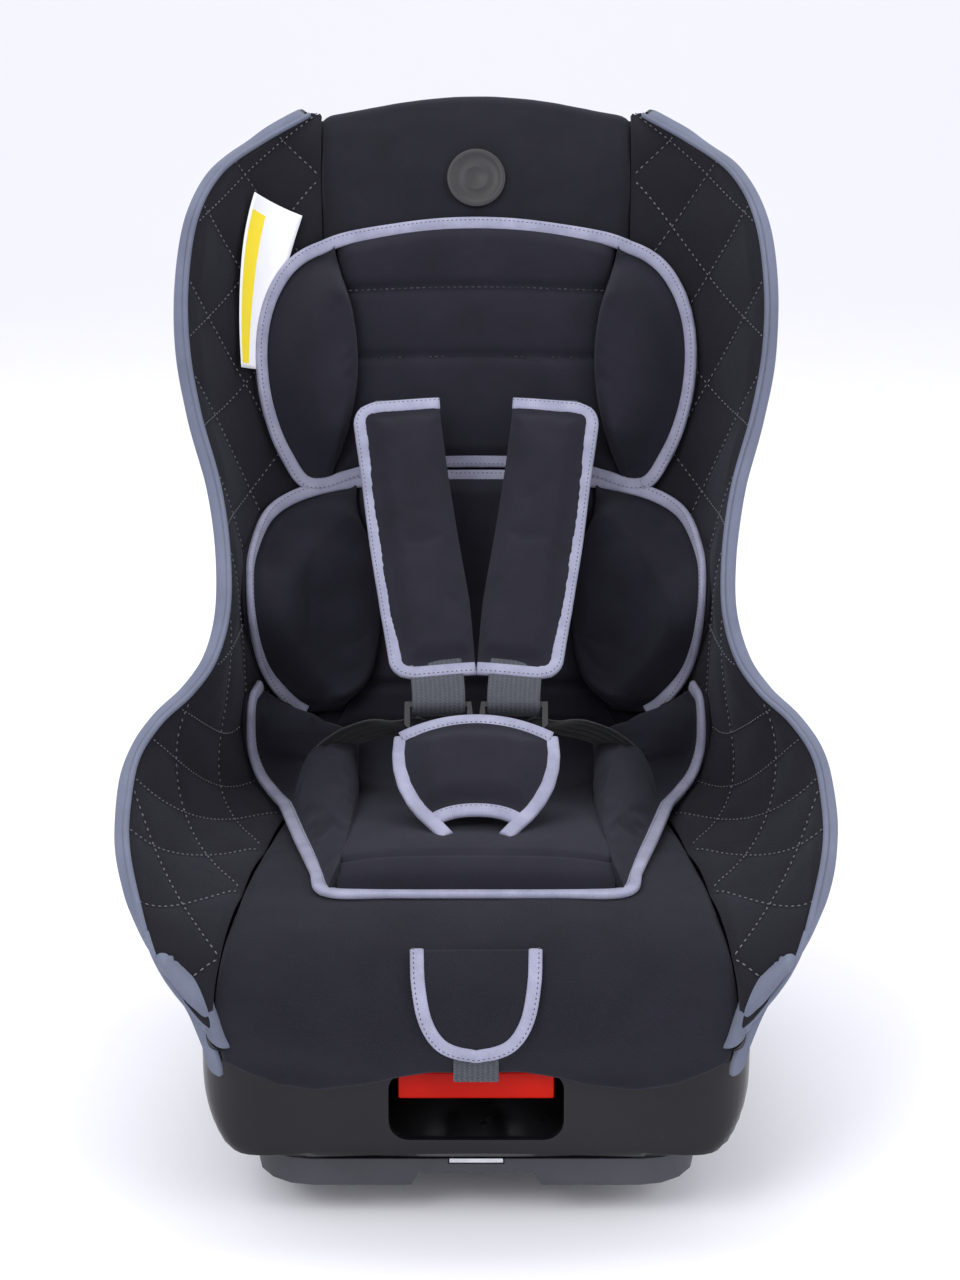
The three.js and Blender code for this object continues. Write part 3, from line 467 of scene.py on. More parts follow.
def webbing_look(name, dark, light):
    """Seat belt webbing: lengthwise ridges crossed by a fine herringbone."""
    look = Look(name, Roughness=0.62, Sheen_Weight=0.2, Sheen_Roughness=0.35, Specular_IOR_Level=0.45)
    vector, x, y = look.cloth()
    zigzag = look.math("PINGPONG", x, 0.003)
    chevron = look.wave(look.math("ADD", y, zigzag), 1.9)
    ridge = look.wave(x, 3.0)
    weave = look.blend((chevron, 0.55), (ridge, 0.45))
    wear = look.math("MULTIPLY", look.noise(vector, 300.0), 0.3)
    tone = look.math("ADD", look.ramp(weave, 0.15, 0.6), wear)
    look.colours(tone, dark, light, (0.2, 0.9))
    look.bump((look.ramp(weave, 0, 1), 0.25))
    return look.material


def plastic(name, dark, light, rough, grain, coat=0.0, specular=0.5):
    """Moulded plastic: a fine grain, faint flow streaks and light handling marks in its gloss."""
    look = Look(name, Coat_Weight=coat, Coat_Roughness=0.12, Specular_IOR_Level=specular)
    place = look.place()
    streaks = look.node("ShaderNodeMapping", place, Scale=(1.0, 1.0, 0.12)).outputs[0]
    flow = look.noise(streaks, 34.0, 6.0, 0.65)
    fine = look.noise(place, 900.0, 2.0)
    look.colours(look.noise(place, 12.0, 5.0), dark, light, (0.35, 0.7))
    look.rough(flow, *rough)
    look.bump((flow, 0.05), (fine, grain))
    return look.material


def metal(name, colour):
    """Zinc-plated steel with faint brushing."""
    look = Look(name, Metallic=1.0)
    place = look.place()
    brushed = look.node("ShaderNodeMapping", place, Scale=(1.0, 12.0, 1.0)).outputs[0]
    marks = look.noise(brushed, 160.0, 4.0)
    look.colours(marks, tuple(c * 0.75 for c in colour), colour)
    look.rough(marks, 0.25, 0.5)
    look.bump((marks, 0.02))
    return look.material


def thread(name, colour):
    """Sewing thread, with a slight change of tone from stitch to stitch."""
    look = Look(name, Roughness=0.7, Sheen_Weight=0.2)
    tone = look.noise(look.place(), 420.0, 1.0)
    look.colours(tone, tuple(c * 0.7 for c in colour), colour)
    return look.material


def tag_look(name):
    """A blank woven label: white, with a plain yellow band down one side."""
    look = Look(name, Roughness=0.6, Specular_IOR_Level=0.3)
    x, y = look.cloth()[1:]
    band, ends = (
        look.math("MULTIPLY", look.math("GREATER_THAN", value, low), look.math("LESS_THAN", value, high))
        for value, low, high in ((x, 0.0025, 0.0145), (y, 0.003, 0.103))
    )
    white, yellow = (0.72, 0.73, 0.76), (0.78, 0.62, 0.03)
    look.colours(look.math("MULTIPLY", band, ends), white, yellow, (0.4, 0.6))
    look.bump((look.wave(y, 0.9), 0.04))
    return look.material


BLACK_CLOTH = knit("black_knit", (0.0045, 0.0042, 0.0075), (0.0105, 0.0100, 0.0168))
QUILTED_CLOTH = knit(
    "quilted_knit", (0.0032, 0.0030, 0.0056), (0.0072, 0.0068, 0.0120), pitch=1.9, depth=0.22
)
PAD_CLOTH = knit("pad_knit", (0.0062, 0.0058, 0.0105), (0.0145, 0.0138, 0.0235), pitch=1.3)
GREY_CLOTH = knit(
    "grey_knit", (0.095, 0.108, 0.155), (0.155, 0.172, 0.235), sheen=0.1, tint=(0.9, 0.92, 1)
)
BINDING = tape("grey_binding", (0.21, 0.215, 0.30), (0.33, 0.335, 0.45))
WEBBING = webbing_look("grey_webbing", (0.022, 0.025, 0.033), (0.085, 0.095, 0.12))
DARK_WEBBING = webbing_look("dark_webbing", (0.006, 0.007, 0.009), (0.024, 0.026, 0.032))
SHELL_GLOSS = plastic(
    "gloss_shell", (0.003, 0.003, 0.004), (0.006, 0.006, 0.008), (0.2, 0.4), 0.015, coat=0.12, specular=0.2
)
BASE_GREY = plastic("base_grey", (0.022, 0.023, 0.030), (0.036, 0.037, 0.048), (0.42, 0.6), 0.06)
BLACK_PLASTIC = plastic("black_plastic", (0.007, 0.007, 0.009), (0.013, 0.013, 0.016), (0.3, 0.5), 0.04)
RED_PLASTIC = plastic(
    "red_plastic", (0.34, 0.004, 0.001), (0.46, 0.008, 0.002), (0.3, 0.5), 0.02, specular=0.1
)
STEEL = metal("plated_steel", (0.55, 0.56, 0.58))
RUBBER = plastic("badge_rubber", (0.010, 0.010, 0.012), (0.016, 0.016, 0.019), (0.45, 0.62), 0.05)
GREY_THREAD = thread("grey_thread", (0.12, 0.12, 0.145))
DARK_THREAD = thread("dark_thread", (0.035, 0.035, 0.045))
TAG = tag_look("blank_label")


def finish(body, slot, *pieces):
    """Rides pieces on their body. The slot argument is not used."""
    for piece in pieces:
        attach(piece, body)


# ---------------- the cover
HEM = ((0, 6), (26, 6), (45, 1), (64, -5), (93, -11), (116, -9), (136, -1), (150, 4))  # x, rise
TOP_ROLL = 21  # thickness that the top edge of the cover wraps round
TOP_U = 0.982  # where the cover starts to roll over the top
TOP_TUCK = 0.012  # in u, between the rows that are tucked in behind the top
SEAM_DIP = 3.2  # how far the cloth sinks at its seams
CROWN = 4.5  # how far the centre panel bulges
SEAM_WIDTH = 0.022  # in v


def hem_u(v):
    """The u of the lower hem, which hangs in two shallow lobes."""
    x = np.abs(surface(np.zeros_like(v), v)[..., 0]) / MM
    return np.interp(x, *zip(*HEM)) * MM / BELOW_HEM


def groove(distance, width):
    return np.exp(-((distance / width) ** 2))


def seam_groove(v):
    """How far the cloth sinks at the seams beside the centre panel, from 0 to 1."""
    return groove(np.abs(v) - 0.5, SEAM_WIDTH)


def cover_centre():
    rows, columns = 230, 72
    v = np.linspace(-0.5, 0.5, columns)
    t = np.linspace(0, 1, rows)[:, None]
    start = hem_u(v)[None]
    u = start + (TOP_U - start) * t
    vs = np.broadcast_to(v, u.shape)
    x = np.abs(vs) / 0.5
    crown = CROWN * (1 - x**4) * np.clip(u / 0.06, 0, 1)
    points = surface(u, vs)
    creases = 0.9 * wobble(points * (0.45, 1, 1), 0.05, 3.1) + 0.5 * wobble(points, 0.017, 9.4)
    depth = -crown + SEAM_DIP * seam_groove(vs) - creases
    grid = layer(u, vs, depth)
    angles = np.radians(np.linspace(0, 180, 14))[1:]
    edge, normal = layer(TOP_U, v, depth[-1]), away(TOP_U, v)
    upward = unit(surface(TOP_U, v) - surface(TOP_U - 0.015, v))
    half = (TOP_ROLL * MM - np.sum((edge - surface(TOP_U, v)) * normal, -1)) / 2
    centre = edge + normal * half[:, None]
    roll = [centre + (np.sin(a) * 0.8 * upward - np.cos(a) * normal) * half[:, None] for a in angles]
    behind = [layer(TOP_U - k * TOP_TUCK, v, TOP_ROLL) for k in range(1, 6)]
    return np.concatenate([grid, np.array(roll), np.array(behind)])


PITCH = 72  # spacing of the quilting lines, in millimetres
QUILT_BOW = (9, 34)  # how far the lines bow, and over what length
WING_MIDDLE = 0.76  # the v of the line that distances up the wing are measured on
PILLOW = 3.0  # how far the quilted pillows rise


def wing_lengths():
    """Distance up the wing at each u, and its width there, both in millimetres."""
    u = np.linspace(0, 1, 400)
    along = lengths(surface(u, np.full(400, WING_MIDDLE))) / MM
    across = np.linspace(0.5, 1, 30)
    width = np.array([lengths(surface(np.full(30, x), across))[-1] for x in u]) / MM
    return u, along, width


WING_U, WING_ALONG, WING_WIDTH = wing_lengths()


def quilt_phase(u, v):
    """The two families of quilting lines: a line runs wherever its phase is a whole number."""
    s = np.interp(u, WING_U, WING_ALONG)
    r = (np.abs(v) - 0.5) * 2 * np.interp(u, WING_U, WING_WIDTH)
    size, length = QUILT_BOW
    bow = size * np.sin(r / length)
    return (s + r + bow) / PITCH, (s - r - bow) / PITCH


# The front edge of the quilted panels, as v and u.
SIDE_FRONT = ((0.5, 0.062), (0.6, 0.072), (0.69, 0.083), (0.8, 0.094), (0.9, 0.104), (0.96, 0.114), (1, 0.13))


def side_front(v):
    return np.interp(v, *zip(*SIDE_FRONT))


def side_depth(u, v):
    """Depth of the quilted panels: pillows between the lines, flat along the rim and dipping at the seam."""
    first, second = quilt_phase(u, v)
    puff = np.abs(np.sin(math.pi * first) * np.sin(math.pi * second)) ** 0.6
    edge = np.clip((1 - v) / 0.06, 0, 1)
    creases = 0.55 * wobble(surface(u, v), 0.045, 5.5)
    return -(0.6 + PILLOW * puff) * edge - creases * edge + SEAM_DIP * seam_groove(v)


def cover_side(side):
    rows, columns = 280, 72
    v = np.linspace(0.5, 1.0, columns) * np.ones((rows, 1))
    start = side_front(v[0])[None]
    u = start + (1 - start) * np.linspace(0, 1, rows)[:, None]
    return layer(u, v * side, side_depth(u, v))


def gusset_front(side):
    """The grey cloth round the front corner, below the quilted panel."""
    rows, columns = 24, 40
    v = np.linspace(0.502, 1.0, columns) * np.ones((rows, 1))
    start = -0.012
    stop = side_front(v[0])[None] + 0.004
    u = start + (stop - start) * np.linspace(0, 1, rows)[:, None]
    bulge = np.sin(math.pi * np.linspace(0, 1, rows))[:, None]
    creases = 0.3 * wobble(surface(u, v), 0.03, 2.0)
    return layer(u, v * side, 0.6 - 0.6 * bulge + creases + SEAM_DIP * seam_groove(v))


def front_piping(side):
    v = np.linspace(0.5, 1.0, 90)
    u = side_front(v)
    return layer(u, v * side, -0.6), -away(u, v * side)


def quilt_stitches(side):
    """The stitched lines, as pairs of points and outward normals."""
    paths = []
    u = np.linspace(0.0, 1, 260)[:, None] * np.ones(90)
    v = np.linspace(0.52, 0.985, 90) * np.ones((260, 1))
    for phase in quilt_phase(u, v):
        for k in range(int(np.ceil(phase.min())), int(phase.max()) + 1):
            line = crossing(phase - k, u, v)
            if len(line):
                line = line[line[:, 0] > side_front(line[:, 1]) + 0.004]
            if len(line) > 6:
                depth = side_depth(line[:, 0], line[:, 1]) - 1.1
                points = layer(line[:, 0], line[:, 1] * side, depth)
                paths.append((points, -away(line[:, 0], line[:, 1] * side)))
    return paths


def crossing(values, u, v):
    """The (u, v) points where values pass zero down each column of a grid, in order of v."""
    points = []
    for j in range(values.shape[1]):
        column = values[:, j]
        turns = np.nonzero(np.sign(column[:-1]) != np.sign(column[1:]))[0]
        if len(turns):
            i = turns[0]
            share = column[i] / (column[i] - column[i + 1])
            points.append((u[i, j] + share * (u[i + 1, j] - u[i, j]), v[i, j]))
    return np.array(points)


RIM_ROUND = 0.75  # how far the rolled rim stands past the edge, in half thicknesses
GUSSET_BACK = 0.74  # v where the gusset's elastic edge lies on the back of the shell


def rim_point(u, side, angle, grow=1.0):
    """Points on the rolled rim: angle 0 is the front face of the edge and 180 the outer skin."""
    edge, normal = surface(u, side), away(u, side)
    along = unit(edge - surface(u, side * 0.96))
    half = SKIN_DEPTH / 2 * (1 - EDGE_THINNING) * MM
    a = np.radians(angle)
    radial = -normal * np.cos(a) + along * np.sin(a) * RIM_ROUND
    return edge + normal * half + radial * half * grow, unit(radial)


def cover_gusset(side):
    us = np.linspace(0, 1, 240)
    rings = [rim_point(us, side, a)[0] for a in np.linspace(34, 180, 12)]
    for v in np.linspace(0.985, GUSSET_BACK, 22):
        bulge = 1.6 * math.sin(math.pi * (v - GUSSET_BACK) / (1 - GUSSET_BACK)) ** 0.7
        rings.append(layer(us, side * v, SKIN_DEPTH + bulge / thinning(v)))
    grid = np.stack(rings, 1)
    ripple = 0.6 * wobble(grid * (1, 1, 0.6), 0.03, 7.0)
    return grid + grid_normals(grid) * ripple[..., None] * MM * -side


def wing_piping(side):
    us = np.linspace(0.125, 1, 300)
    return rim_point(us, side, 18, 1.08)


# ---------------- padded pieces
RIM_FLAT = 5.0  # the flat edge of a pad under its binding
UNDERSIDE = 1.5  # the gap between the cover and the pads on it
BORDER_SHARE = 0.06  # the part of a pad's length over which its edges round off
PATH_POINTS = 220


def smooth_step(x):
    x = np.clip(x, 0, 1)
    return x * x * (3 - 2 * x)


def lens(inner, outer, rise, base):
    """The top and bottom of a pillow between two (u, v) lines. Lifts are in millimetres."""
    rows, columns = 72, 40
    a, b = uv_line(inner, rows), uv_line(outer, rows)
    k = np.linspace(0, 1, columns)
    uv = a[:, None] * (1 - k[None, :, None]) + b[:, None] * k[None, :, None]
    ground = surface(uv[..., 0], uv[..., 1])
    lift_way = -unit(away(a[:, 0], a[:, 1]) + away(b[:, 0], b[:, 1]))[:, None]
    width = np.linalg.norm(ground[:, -1] - ground[:, 0], axis=-1)[:, None] / MM
    along = lengths(b)
    to_end = np.minimum(along, along[-1] - along)[:, None] / MM
    to_outer = np.minimum((1 - k)[None] * width, to_end)
    inner_rise = np.clip(k[None] * width / 20, 0, 1)
    outer_rise = smooth_step((to_outer - RIM_FLAT) / 30)
    dome = np.sqrt(1 - (1 - inner_rise) ** 2) * outer_rise
    full = np.clip(width / 50, 0, 1)
    lift_inner, lift_outer = base
    edge = lift_inner + (lift_outer - lift_inner) * k
    top = ground + lift_way * (edge + rise * dome * full)[..., None] * MM
    return top, ground + lift_way * UNDERSIDE * MM


def mirrored(points, side):
    return [(u, side * v) for u, v in points]


def patch(left, right, low, high, rows, columns):
    """A (u, v) grid between four border lines that share their corners."""
    left, right = uv_line(left, rows), uv_line(right, rows)
    low, high = uv_line(low, columns), uv_line(high, columns)
    s = np.linspace(0, 1, columns)[None, :, None]
    t = np.linspace(0, 1, rows)[:, None, None]
    sides = left[:, None] * (1 - s) + right[:, None] * s
    ends = low[None] * (1 - t) + high[None] * t
    corners = (low[0] * (1 - s) + low[-1] * s) * (1 - t) + (high[0] * (1 - s) + high[-1] * s) * t
    return sides + ends - corners


def edge_fall(rows, columns):
    """1 inside a grid, falling to 0 at its borders: up the grid, and across it."""
    t, s = (np.minimum(np.linspace(0, 1, n), np.linspace(1, 0, n)) / BORDER_SHARE for n in (rows, columns))
    return np.clip(t, 0, 1)[:, None] ** 0.5, np.clip(s, 0, 1)[None] ** 0.5


def pad_from(uv, lift, clear=UNDERSIDE):
    """The top and bottom of a pad on the cover, from its (u, v) grid and its lift there."""
    u, v = uv[..., 0], uv[..., 1]
    return layer(u, v, -lift), layer(u, v, -clear)


# Head cushion, as (u, v)
HEAD_TOP = [(0.8392, 0.455), (0.8465, 0.21), (0.8489, 0), (0.8465, -0.21), (0.8392, -0.455)]
HEAD_OUTER = [(0.8392, 0.455), (0.826, 0.57), (0.803, 0.645), (0.772, 0.685), (0.735, 0.685),
              (0.708, 0.65), (0.69, 0.60), (0.6755, 0.535)]
HEAD_INNER = [(0.836, 0.455), (0.80, 0.425), (0.77, 0.415), (0.731, 0.421), (0.70, 0.44), (0.682, 0.465)]
HEAD_BOTTOM = [(0.6755, 0.50), (0.683, 0.36), (0.6885, 0.2), (0.69, 0), (0.6885, -0.2), (0.683, -0.36),
               (0.6755, -0.50)]
HEAD_CHANNELS = (0.8048, 0.757)
HEAD_THICK = 14
ROLL_SPACING = 0.0478  # in u, between the head cushion's channels


def head_cushion():
    rows, columns = 76, 60
    inner = [(0.839, 0.45), *HEAD_INNER[1:-1], (0.678, 0.465)]
    low = [(0.678, 0.465), (0.684, 0.36), *HEAD_BOTTOM[2:5], (0.684, -0.36), (0.678, -0.465)]
    high = [(0.839, 0.45), *HEAD_TOP[1:4], (0.839, -0.45)]
    uv = patch(inner[::-1], mirrored(inner[::-1], -1), low, high, rows, columns)
    u, v = uv[..., 0], uv[..., 1]
    t, s = edge_fall(rows, columns)
    channels = sum(groove(u - c, 0.0035) for c in HEAD_CHANNELS)
    low_channel = HEAD_CHANNELS[1]
    arch = np.abs(np.sin(math.pi * (u - low_channel) / ROLL_SPACING)) ** 0.6
    rolls = np.where(u > low_channel, arch, 0.9)
    creases = 0.4 * wobble(surface(u, v) * (0.5, 1, 1), 0.035, 2.2)
    lift = 5 + (HEAD_THICK - 8) * t * s + 4.0 * rolls * t * s - 3.0 * channels * t + creases
    return pad_from(uv, lift)


# Back cushion
BACK_TOP = [(0.6766, 0.39), (0.6795, 0.2), (0.6802, 0), (0.6795, -0.2), (0.6766, -0.39)]
BACK_OUTER = [(0.6766, 0.39), (0.671, 0.53), (0.652, 0.67), (0.62, 0.79), (0.588, 0.87), (0.566, 0.86),
              (0.556, 0.74), (0.545, 0.60), (0.531, 0.51)]
BACK_INNER = [(0.674, 0.372), (0.65, 0.364), (0.61, 0.357), (0.575, 0.352), (0.55, 0.36), (0.533, 0.40)]
BACK_BAND = 0.5527  # the crease across the lower back
BACK_LOW = 0.516
BACK_THICK = 15


def back_cushion():
    rows, columns = 80, 52
    inner = [(0.676, 0.372), *BACK_INNER[1:-1], (BACK_LOW, 0.42)]
    low = [(BACK_LOW, v) for v in (0.42, 0.2, 0, -0.2, -0.42)]
    high = [(0.676, 0.372), *BACK_TOP[1:4], (0.676, -0.372)]
    uv = patch(inner[::-1], mirrored(inner[::-1], -1), low, high, rows, columns)
    u, v = uv[..., 0], uv[..., 1]
    t, s = edge_fall(rows, columns)
    creases = 0.8 * wobble(surface(u, v) * (0.6, 1, 1), 0.03, 6.2)
    lift = 5 + (BACK_THICK - 5) * t * s + 3 * np.cos(v / 0.36 * math.pi / 2) * t
    lift += creases - 5 * groove(u - BACK_BAND, 0.003)
    return pad_from(uv, lift)


# Seat cushion
SEAT_OUTER = [(0.229, 0.285), (0.262, 0.325), (0.31, 0.388), (0.36, 0.46), (0.41, 0.535), (0.455, 0.625),
              (0.49, 0.70), (0.517, 0.735), (0.535, 0.70)]
SEAT_INNER = [(0.232, 0.262), (0.28, 0.256), (0.33, 0.262), (0.375, 0.275), (0.41, 0.295), (0.455, 0.335),
              (0.495, 0.40), (0.519, 0.48), (0.532, 0.62)]
SEAT_FRONT = [(0.229, 0.285), (0.2265, 0.14), (0.226, 0), (0.2265, -0.14), (0.229, -0.285)]
SEAT_LIP = 0.2427  # the seam behind the front edge
SEAT_PROFILE = ((0.226, 4), (0.2262, 12), (0.229, 19), (0.235, 23), (SEAT_LIP, 25), (0.29, 27), (0.35, 24),
                (0.42, 17), (0.47, 13), (0.51, 9))  # u and lift up the middle
SEAT_BINDING_LIFTS = (8.5, 7.5, 6.5, 6.5, 7.5, 8.5)


def seat_cushion():
    rows, columns = 96, 56
    even = np.array([1000, 1])  # brings u to the size of the lift, for an even curve
    dense = catmull(np.array(SEAT_PROFILE) * even, np.linspace(0, 1, rows)) / even
    v_inner = np.interp(dense[:, 0], *np.array(SEAT_INNER[:-1]).T)
    s = np.linspace(1, -1, columns)
    u = dense[:, :1] + 0.003 * (np.abs(s) ** 3)[None]
    v = v_inner[:, None] * s[None]
    crown = 1 - 0.16 * np.abs(s) ** 3
    creases = 0.8 * wobble(surface(u, v), 0.035, 8.8)
    front = np.clip((u - 0.23) / 0.03, 0, 1)
    lift = dense[:, 1:] * crown[None] + creases * front - 3.0 * groove(u - SEAT_LIP - 0.001, 0.0022)
    return pad_from(np.stack([u, v], -1), np.maximum(lift, 2.5), clear=1.0)


def bound_path(points, lifts, closed=False):
    """A binding's path along a (u, v) line, and its outward normals. lifts are at even places along it."""
    uv = uv_line(points, PATH_POINTS, closed)
    normal = -away(uv[:, 0], uv[:, 1])
    height = np.interp(np.linspace(0, 1, PATH_POINTS), np.linspace(0, 1, len(lifts)), lifts)
    return surface(uv[:, 0], uv[:, 1]) + normal * height[:, None] * MM, normal


def seam_row(path, normal, shift, rise, closed=False):
    """A row of stitches beside a path: shift is across it and rise outward, in millimetres."""
    across = unit(np.cross(tangents(path, closed), normal))
    return path + across * shift * MM + normal * rise * MM, normal


# ---------------- cloth simulation
SIMULATION_FRAMES = 20
PRESSURE = 4.0
GROWTH = 0.004  # how much larger the cloth is cut than the pad, as a share
BENDING = 0.8
SIMULATED = []


def swell(obj, held, cap):
    """Marks a closed piece to be blown up by cloth simulation, by no more than cap millimetres.

    held is true where the cloth is sewn down.
    """
    SIMULATED.append((obj, held, cap))


def run_simulations():
    """Blows up all marked pieces together, and caps how far each point moves."""
    scene = bpy.context.scene
    for obj, held, _ in SIMULATED:
        group = obj.vertex_groups.new(name="sewn")
        group.add(np.nonzero(held)[0].tolist(), 1.0, "REPLACE")
        cloth = obj.modifiers.new("Cloth", "CLOTH")
        cloth.point_cache.frame_start, cloth.point_cache.frame_end = 1, SIMULATION_FRAMES
        cloth.collision_settings.use_collision = False
        settings = cloth.settings
        settings.quality = 6
        settings.mass = 0.25
        settings.tension_stiffness = settings.compression_stiffness = 18
        settings.shear_stiffness = 6
        settings.bending_stiffness = BENDING
        settings.shrink_min = -GROWTH
        settings.use_pressure = True
        settings.uniform_pressure_force = PRESSURE
        settings.vertex_group_mass = "sewn"
        settings.effector_weights.gravity = 0
    for step in range(1, SIMULATION_FRAMES + 1):
        scene.frame_set(step)
    graph = bpy.context.evaluated_depsgraph_get()
    moved = [read_points(obj.evaluated_get(graph).data) for obj, *_ in SIMULATED]
    for (obj, _, cap), after in zip(SIMULATED, moved):
        before = read_points(obj.data)
        shift = after - before
        size = np.linalg.norm(shift, axis=1, keepdims=True)
        shift *= np.minimum(1, cap * MM / np.maximum(size, 1e-9))
        obj.modifiers.remove(obj.modifiers["Cloth"])
        obj.data.vertices.foreach_set("co", (before + shift).astype(np.float32).ravel())
        obj.data.update()
    scene.frame_set(1)


def read_points(mesh):
    points = np.zeros(len(mesh.vertices) * 3)
    mesh.vertices.foreach_get("co", points)
    return points.reshape(-1, 3)


def sewn_rim(rows, columns):
    """Held points of a bolster: its underside, and its top apart from the middle of the pillow."""
    top = np.ones((rows, columns), bool)
    top[3:-3, 2:-7] = False
    return np.concatenate([top.ravel(), np.ones(rows * columns, bool)])


def sewn_border(rows, columns):
    """Held points of a pad mesh: its whole underside and the border of its top."""
    top = np.ones((rows, columns), bool)
    top[1:-1, 1:-1] = False
    return np.concatenate([top.ravel(), np.ones(rows * columns, bool)])


# ---------------- the hard shell
TUB = {"front": -228, "rear": 166, "half_front": 164, "half_rear": 148, "wall": 5, "top": 250}
TUB_BOTTOM = 6
TUB_CORNER = 42
TUB_MEETS = 13  # depth in the bucket where the upper edge of the tub ends
TUB_BEYOND = 600.0  # farther than any point of the tub
TUB_SIDE_CURVE = (70, 63)  # across and up, of the rounded lower edges of the bowl
CRADLE = (-165, 428)  # y and z of the recline axis
BELLY = 407.6  # radius of the bowl's underside about that axis
SHELF = (-188, 97)  # the tub is low in front of this y and above this z
TUB_EYE = np.array([0.0, -30.0, 66.0])  # a point inside, from which all of the tub can be seen
RECESS = (51, 38, 82, 12)  # half width, bottom, top and corner of the hollow for the recline handle
BELT_SLOT = ((-200, 200), (139, 157), (186, 232))
LOCK_WINDOW = ((-14, 14), (-94, -83), (-10, 60))
YOKE_WINDOW = ((-34, 34), (90, 220), (60, 270))
SHOULDER_SLOT = {"x": 52, "half": 21, "y": (60, 240), "z": (389, 407)}


def blend_max(distances, softness=7.0):
    """The largest of several distances, with a rounded corner where two are nearly equal."""
    total = distances[0]
    for other in distances[1:]:
        h = np.clip(0.5 + 0.5 * (total - other) / softness, 0, 1)
        total = other * (1 - h) + total * h + softness * h * (1 - h)
    return total


def tub_distance(p):
    """Roughly how far points lie outside the tub, in millimetres."""
    x, y, z = np.abs(p[:, 0]), p[:, 1], p[:, 2]
    half = np.interp(y, (0, TUB["rear"]), (TUB["half_front"], TUB["half_rear"]))
    past_side = x - (half - TUB_CORNER)
    past_end = np.maximum(TUB["front"] + TUB_CORNER - y, y - (TUB["rear"] - TUB_CORNER))
    outside = np.hypot(np.maximum(past_side, 0), np.maximum(past_end, 0))
    plan = outside + np.minimum(np.maximum(past_side, past_end), 0) - TUB_CORNER
    wide, tall = TUB_SIDE_CURVE
    in_x = (x - (TUB["half_front"] - wide)) / wide
    in_z = (TUB_BOTTOM + tall - z) / tall
    section = (np.hypot(np.maximum(in_x, 0), np.maximum(in_z, 0)) - 1) * tall
    belly = np.hypot(y - CRADLE[0], z - CRADLE[1]) - BELLY
    shelf = np.minimum(SHELF[0] - y, z - SHELF[1])
    return blend_max([plan, section, belly, shelf])


def tub_rays():
    """Starts and directions of the rays that find the tub: level above the eye, spreading below it."""
    columns = 264
    turn = np.linspace(0, 2 * math.pi, columns, endpoint=False)
    ring = unit(np.stack([np.cos(turn), np.sin(turn) * 1.15, np.zeros(columns)], -1))
    starts, ways = [], []
    for z in np.linspace(TUB["top"], TUB_EYE[2] + 3, 52):
        starts.append(np.repeat([[TUB_EYE[0], TUB_EYE[1], z]], columns, 0))
        ways.append(ring)
    for polar in np.linspace(math.pi / 2, math.pi - 0.02, 76):
        starts.append(np.repeat(TUB_EYE[None], columns, 0))
        ways.append(unit(ring * math.sin(polar) + np.array([0, 0, math.cos(polar)])))
    return np.array(starts), np.array(ways)


def tub_reach(starts, ways):
    """Where each ray leaves the tub, found by halving."""
    near, far = np.zeros(len(ways)), np.full(len(ways), TUB_BEYOND)
    for _ in range(30):
        middle = (near + far) / 2
        inside = tub_distance(starts + ways * middle[:, None]) < 0
        near, far = np.where(inside, middle, near), np.where(inside, far, middle)
    return starts + ways * near[:, None]


def meet_bucket(points):
    """Moves the points that lie inside the bucket onto its underside, and tells which they are."""
    us, vs = np.meshgrid(np.linspace(0, 1, 120), np.linspace(-1, 1, 80), indexing="ij")
    under = layer(us, vs, TUB_MEETS).reshape(-1, 3) / MM
    quads = grid_quads(*us.shape)
    bucket = BVHTree.FromPolygons(under.tolist(), quads.tolist())
    outward = away(us, vs).reshape(-1, 3)[quads].mean(1)
    covered = np.zeros(len(points), bool)
    for k in np.nonzero(points[:, 2] > SHELF[1] + 1)[0]:
        spot, _, face, _ = bucket.find_nearest(Vector(points[k]))
        covered[k] = (points[k] - np.array(spot)) @ outward[face] < 0
        if covered[k]:
            points[k] = spot
    return covered


def tub_shell():
    """The bowl under the bucket, up to the bucket's underside, with its windows and slots."""
    starts, ways = tub_rays()
    rows, columns = starts.shape[:2]
    points = tub_reach(starts.reshape(-1, 3), ways.reshape(-1, 3))
    covered = meet_bucket(points)
    quads = grid_quads(rows, columns, around=True)
    quads = quads[~covered[quads].all(1)]
    floor = list(range((rows - 1) * columns, rows * columns))
    used, faces = compact(points * MM, quads.tolist() + [floor])
    tub = add_object("shell_tub", used, faces, SHELL_GLOSS)
    wall = tub.modifiers.new("Wall", "SOLIDIFY")
    wall.thickness = TUB["wall"] * MM
    wall.offset = -1
    half, bottom, top, corner = RECESS
    recess = rounded_box((-half, half), (TUB["front"] - 30, TUB["front"] + 24), (bottom, top), corner, 1)
    slots = rounded_box(*BELT_SLOT, 4, 0)
    window = rounded_box(*LOCK_WINDOW, 2, 2)
    yoke = rounded_box(*YOKE_WINDOW, 4, 1)
    carve(tub, [recess, slots, window, yoke])
    return tub


def compact(points, faces):
    """Only the points that the faces use."""
    used = np.unique(np.concatenate([np.array(face) for face in faces]))
    place = np.full(len(points), -1)
    place[used] = np.arange(len(used))
    return points[used], [[int(place[k]) for k in face] for face in faces]


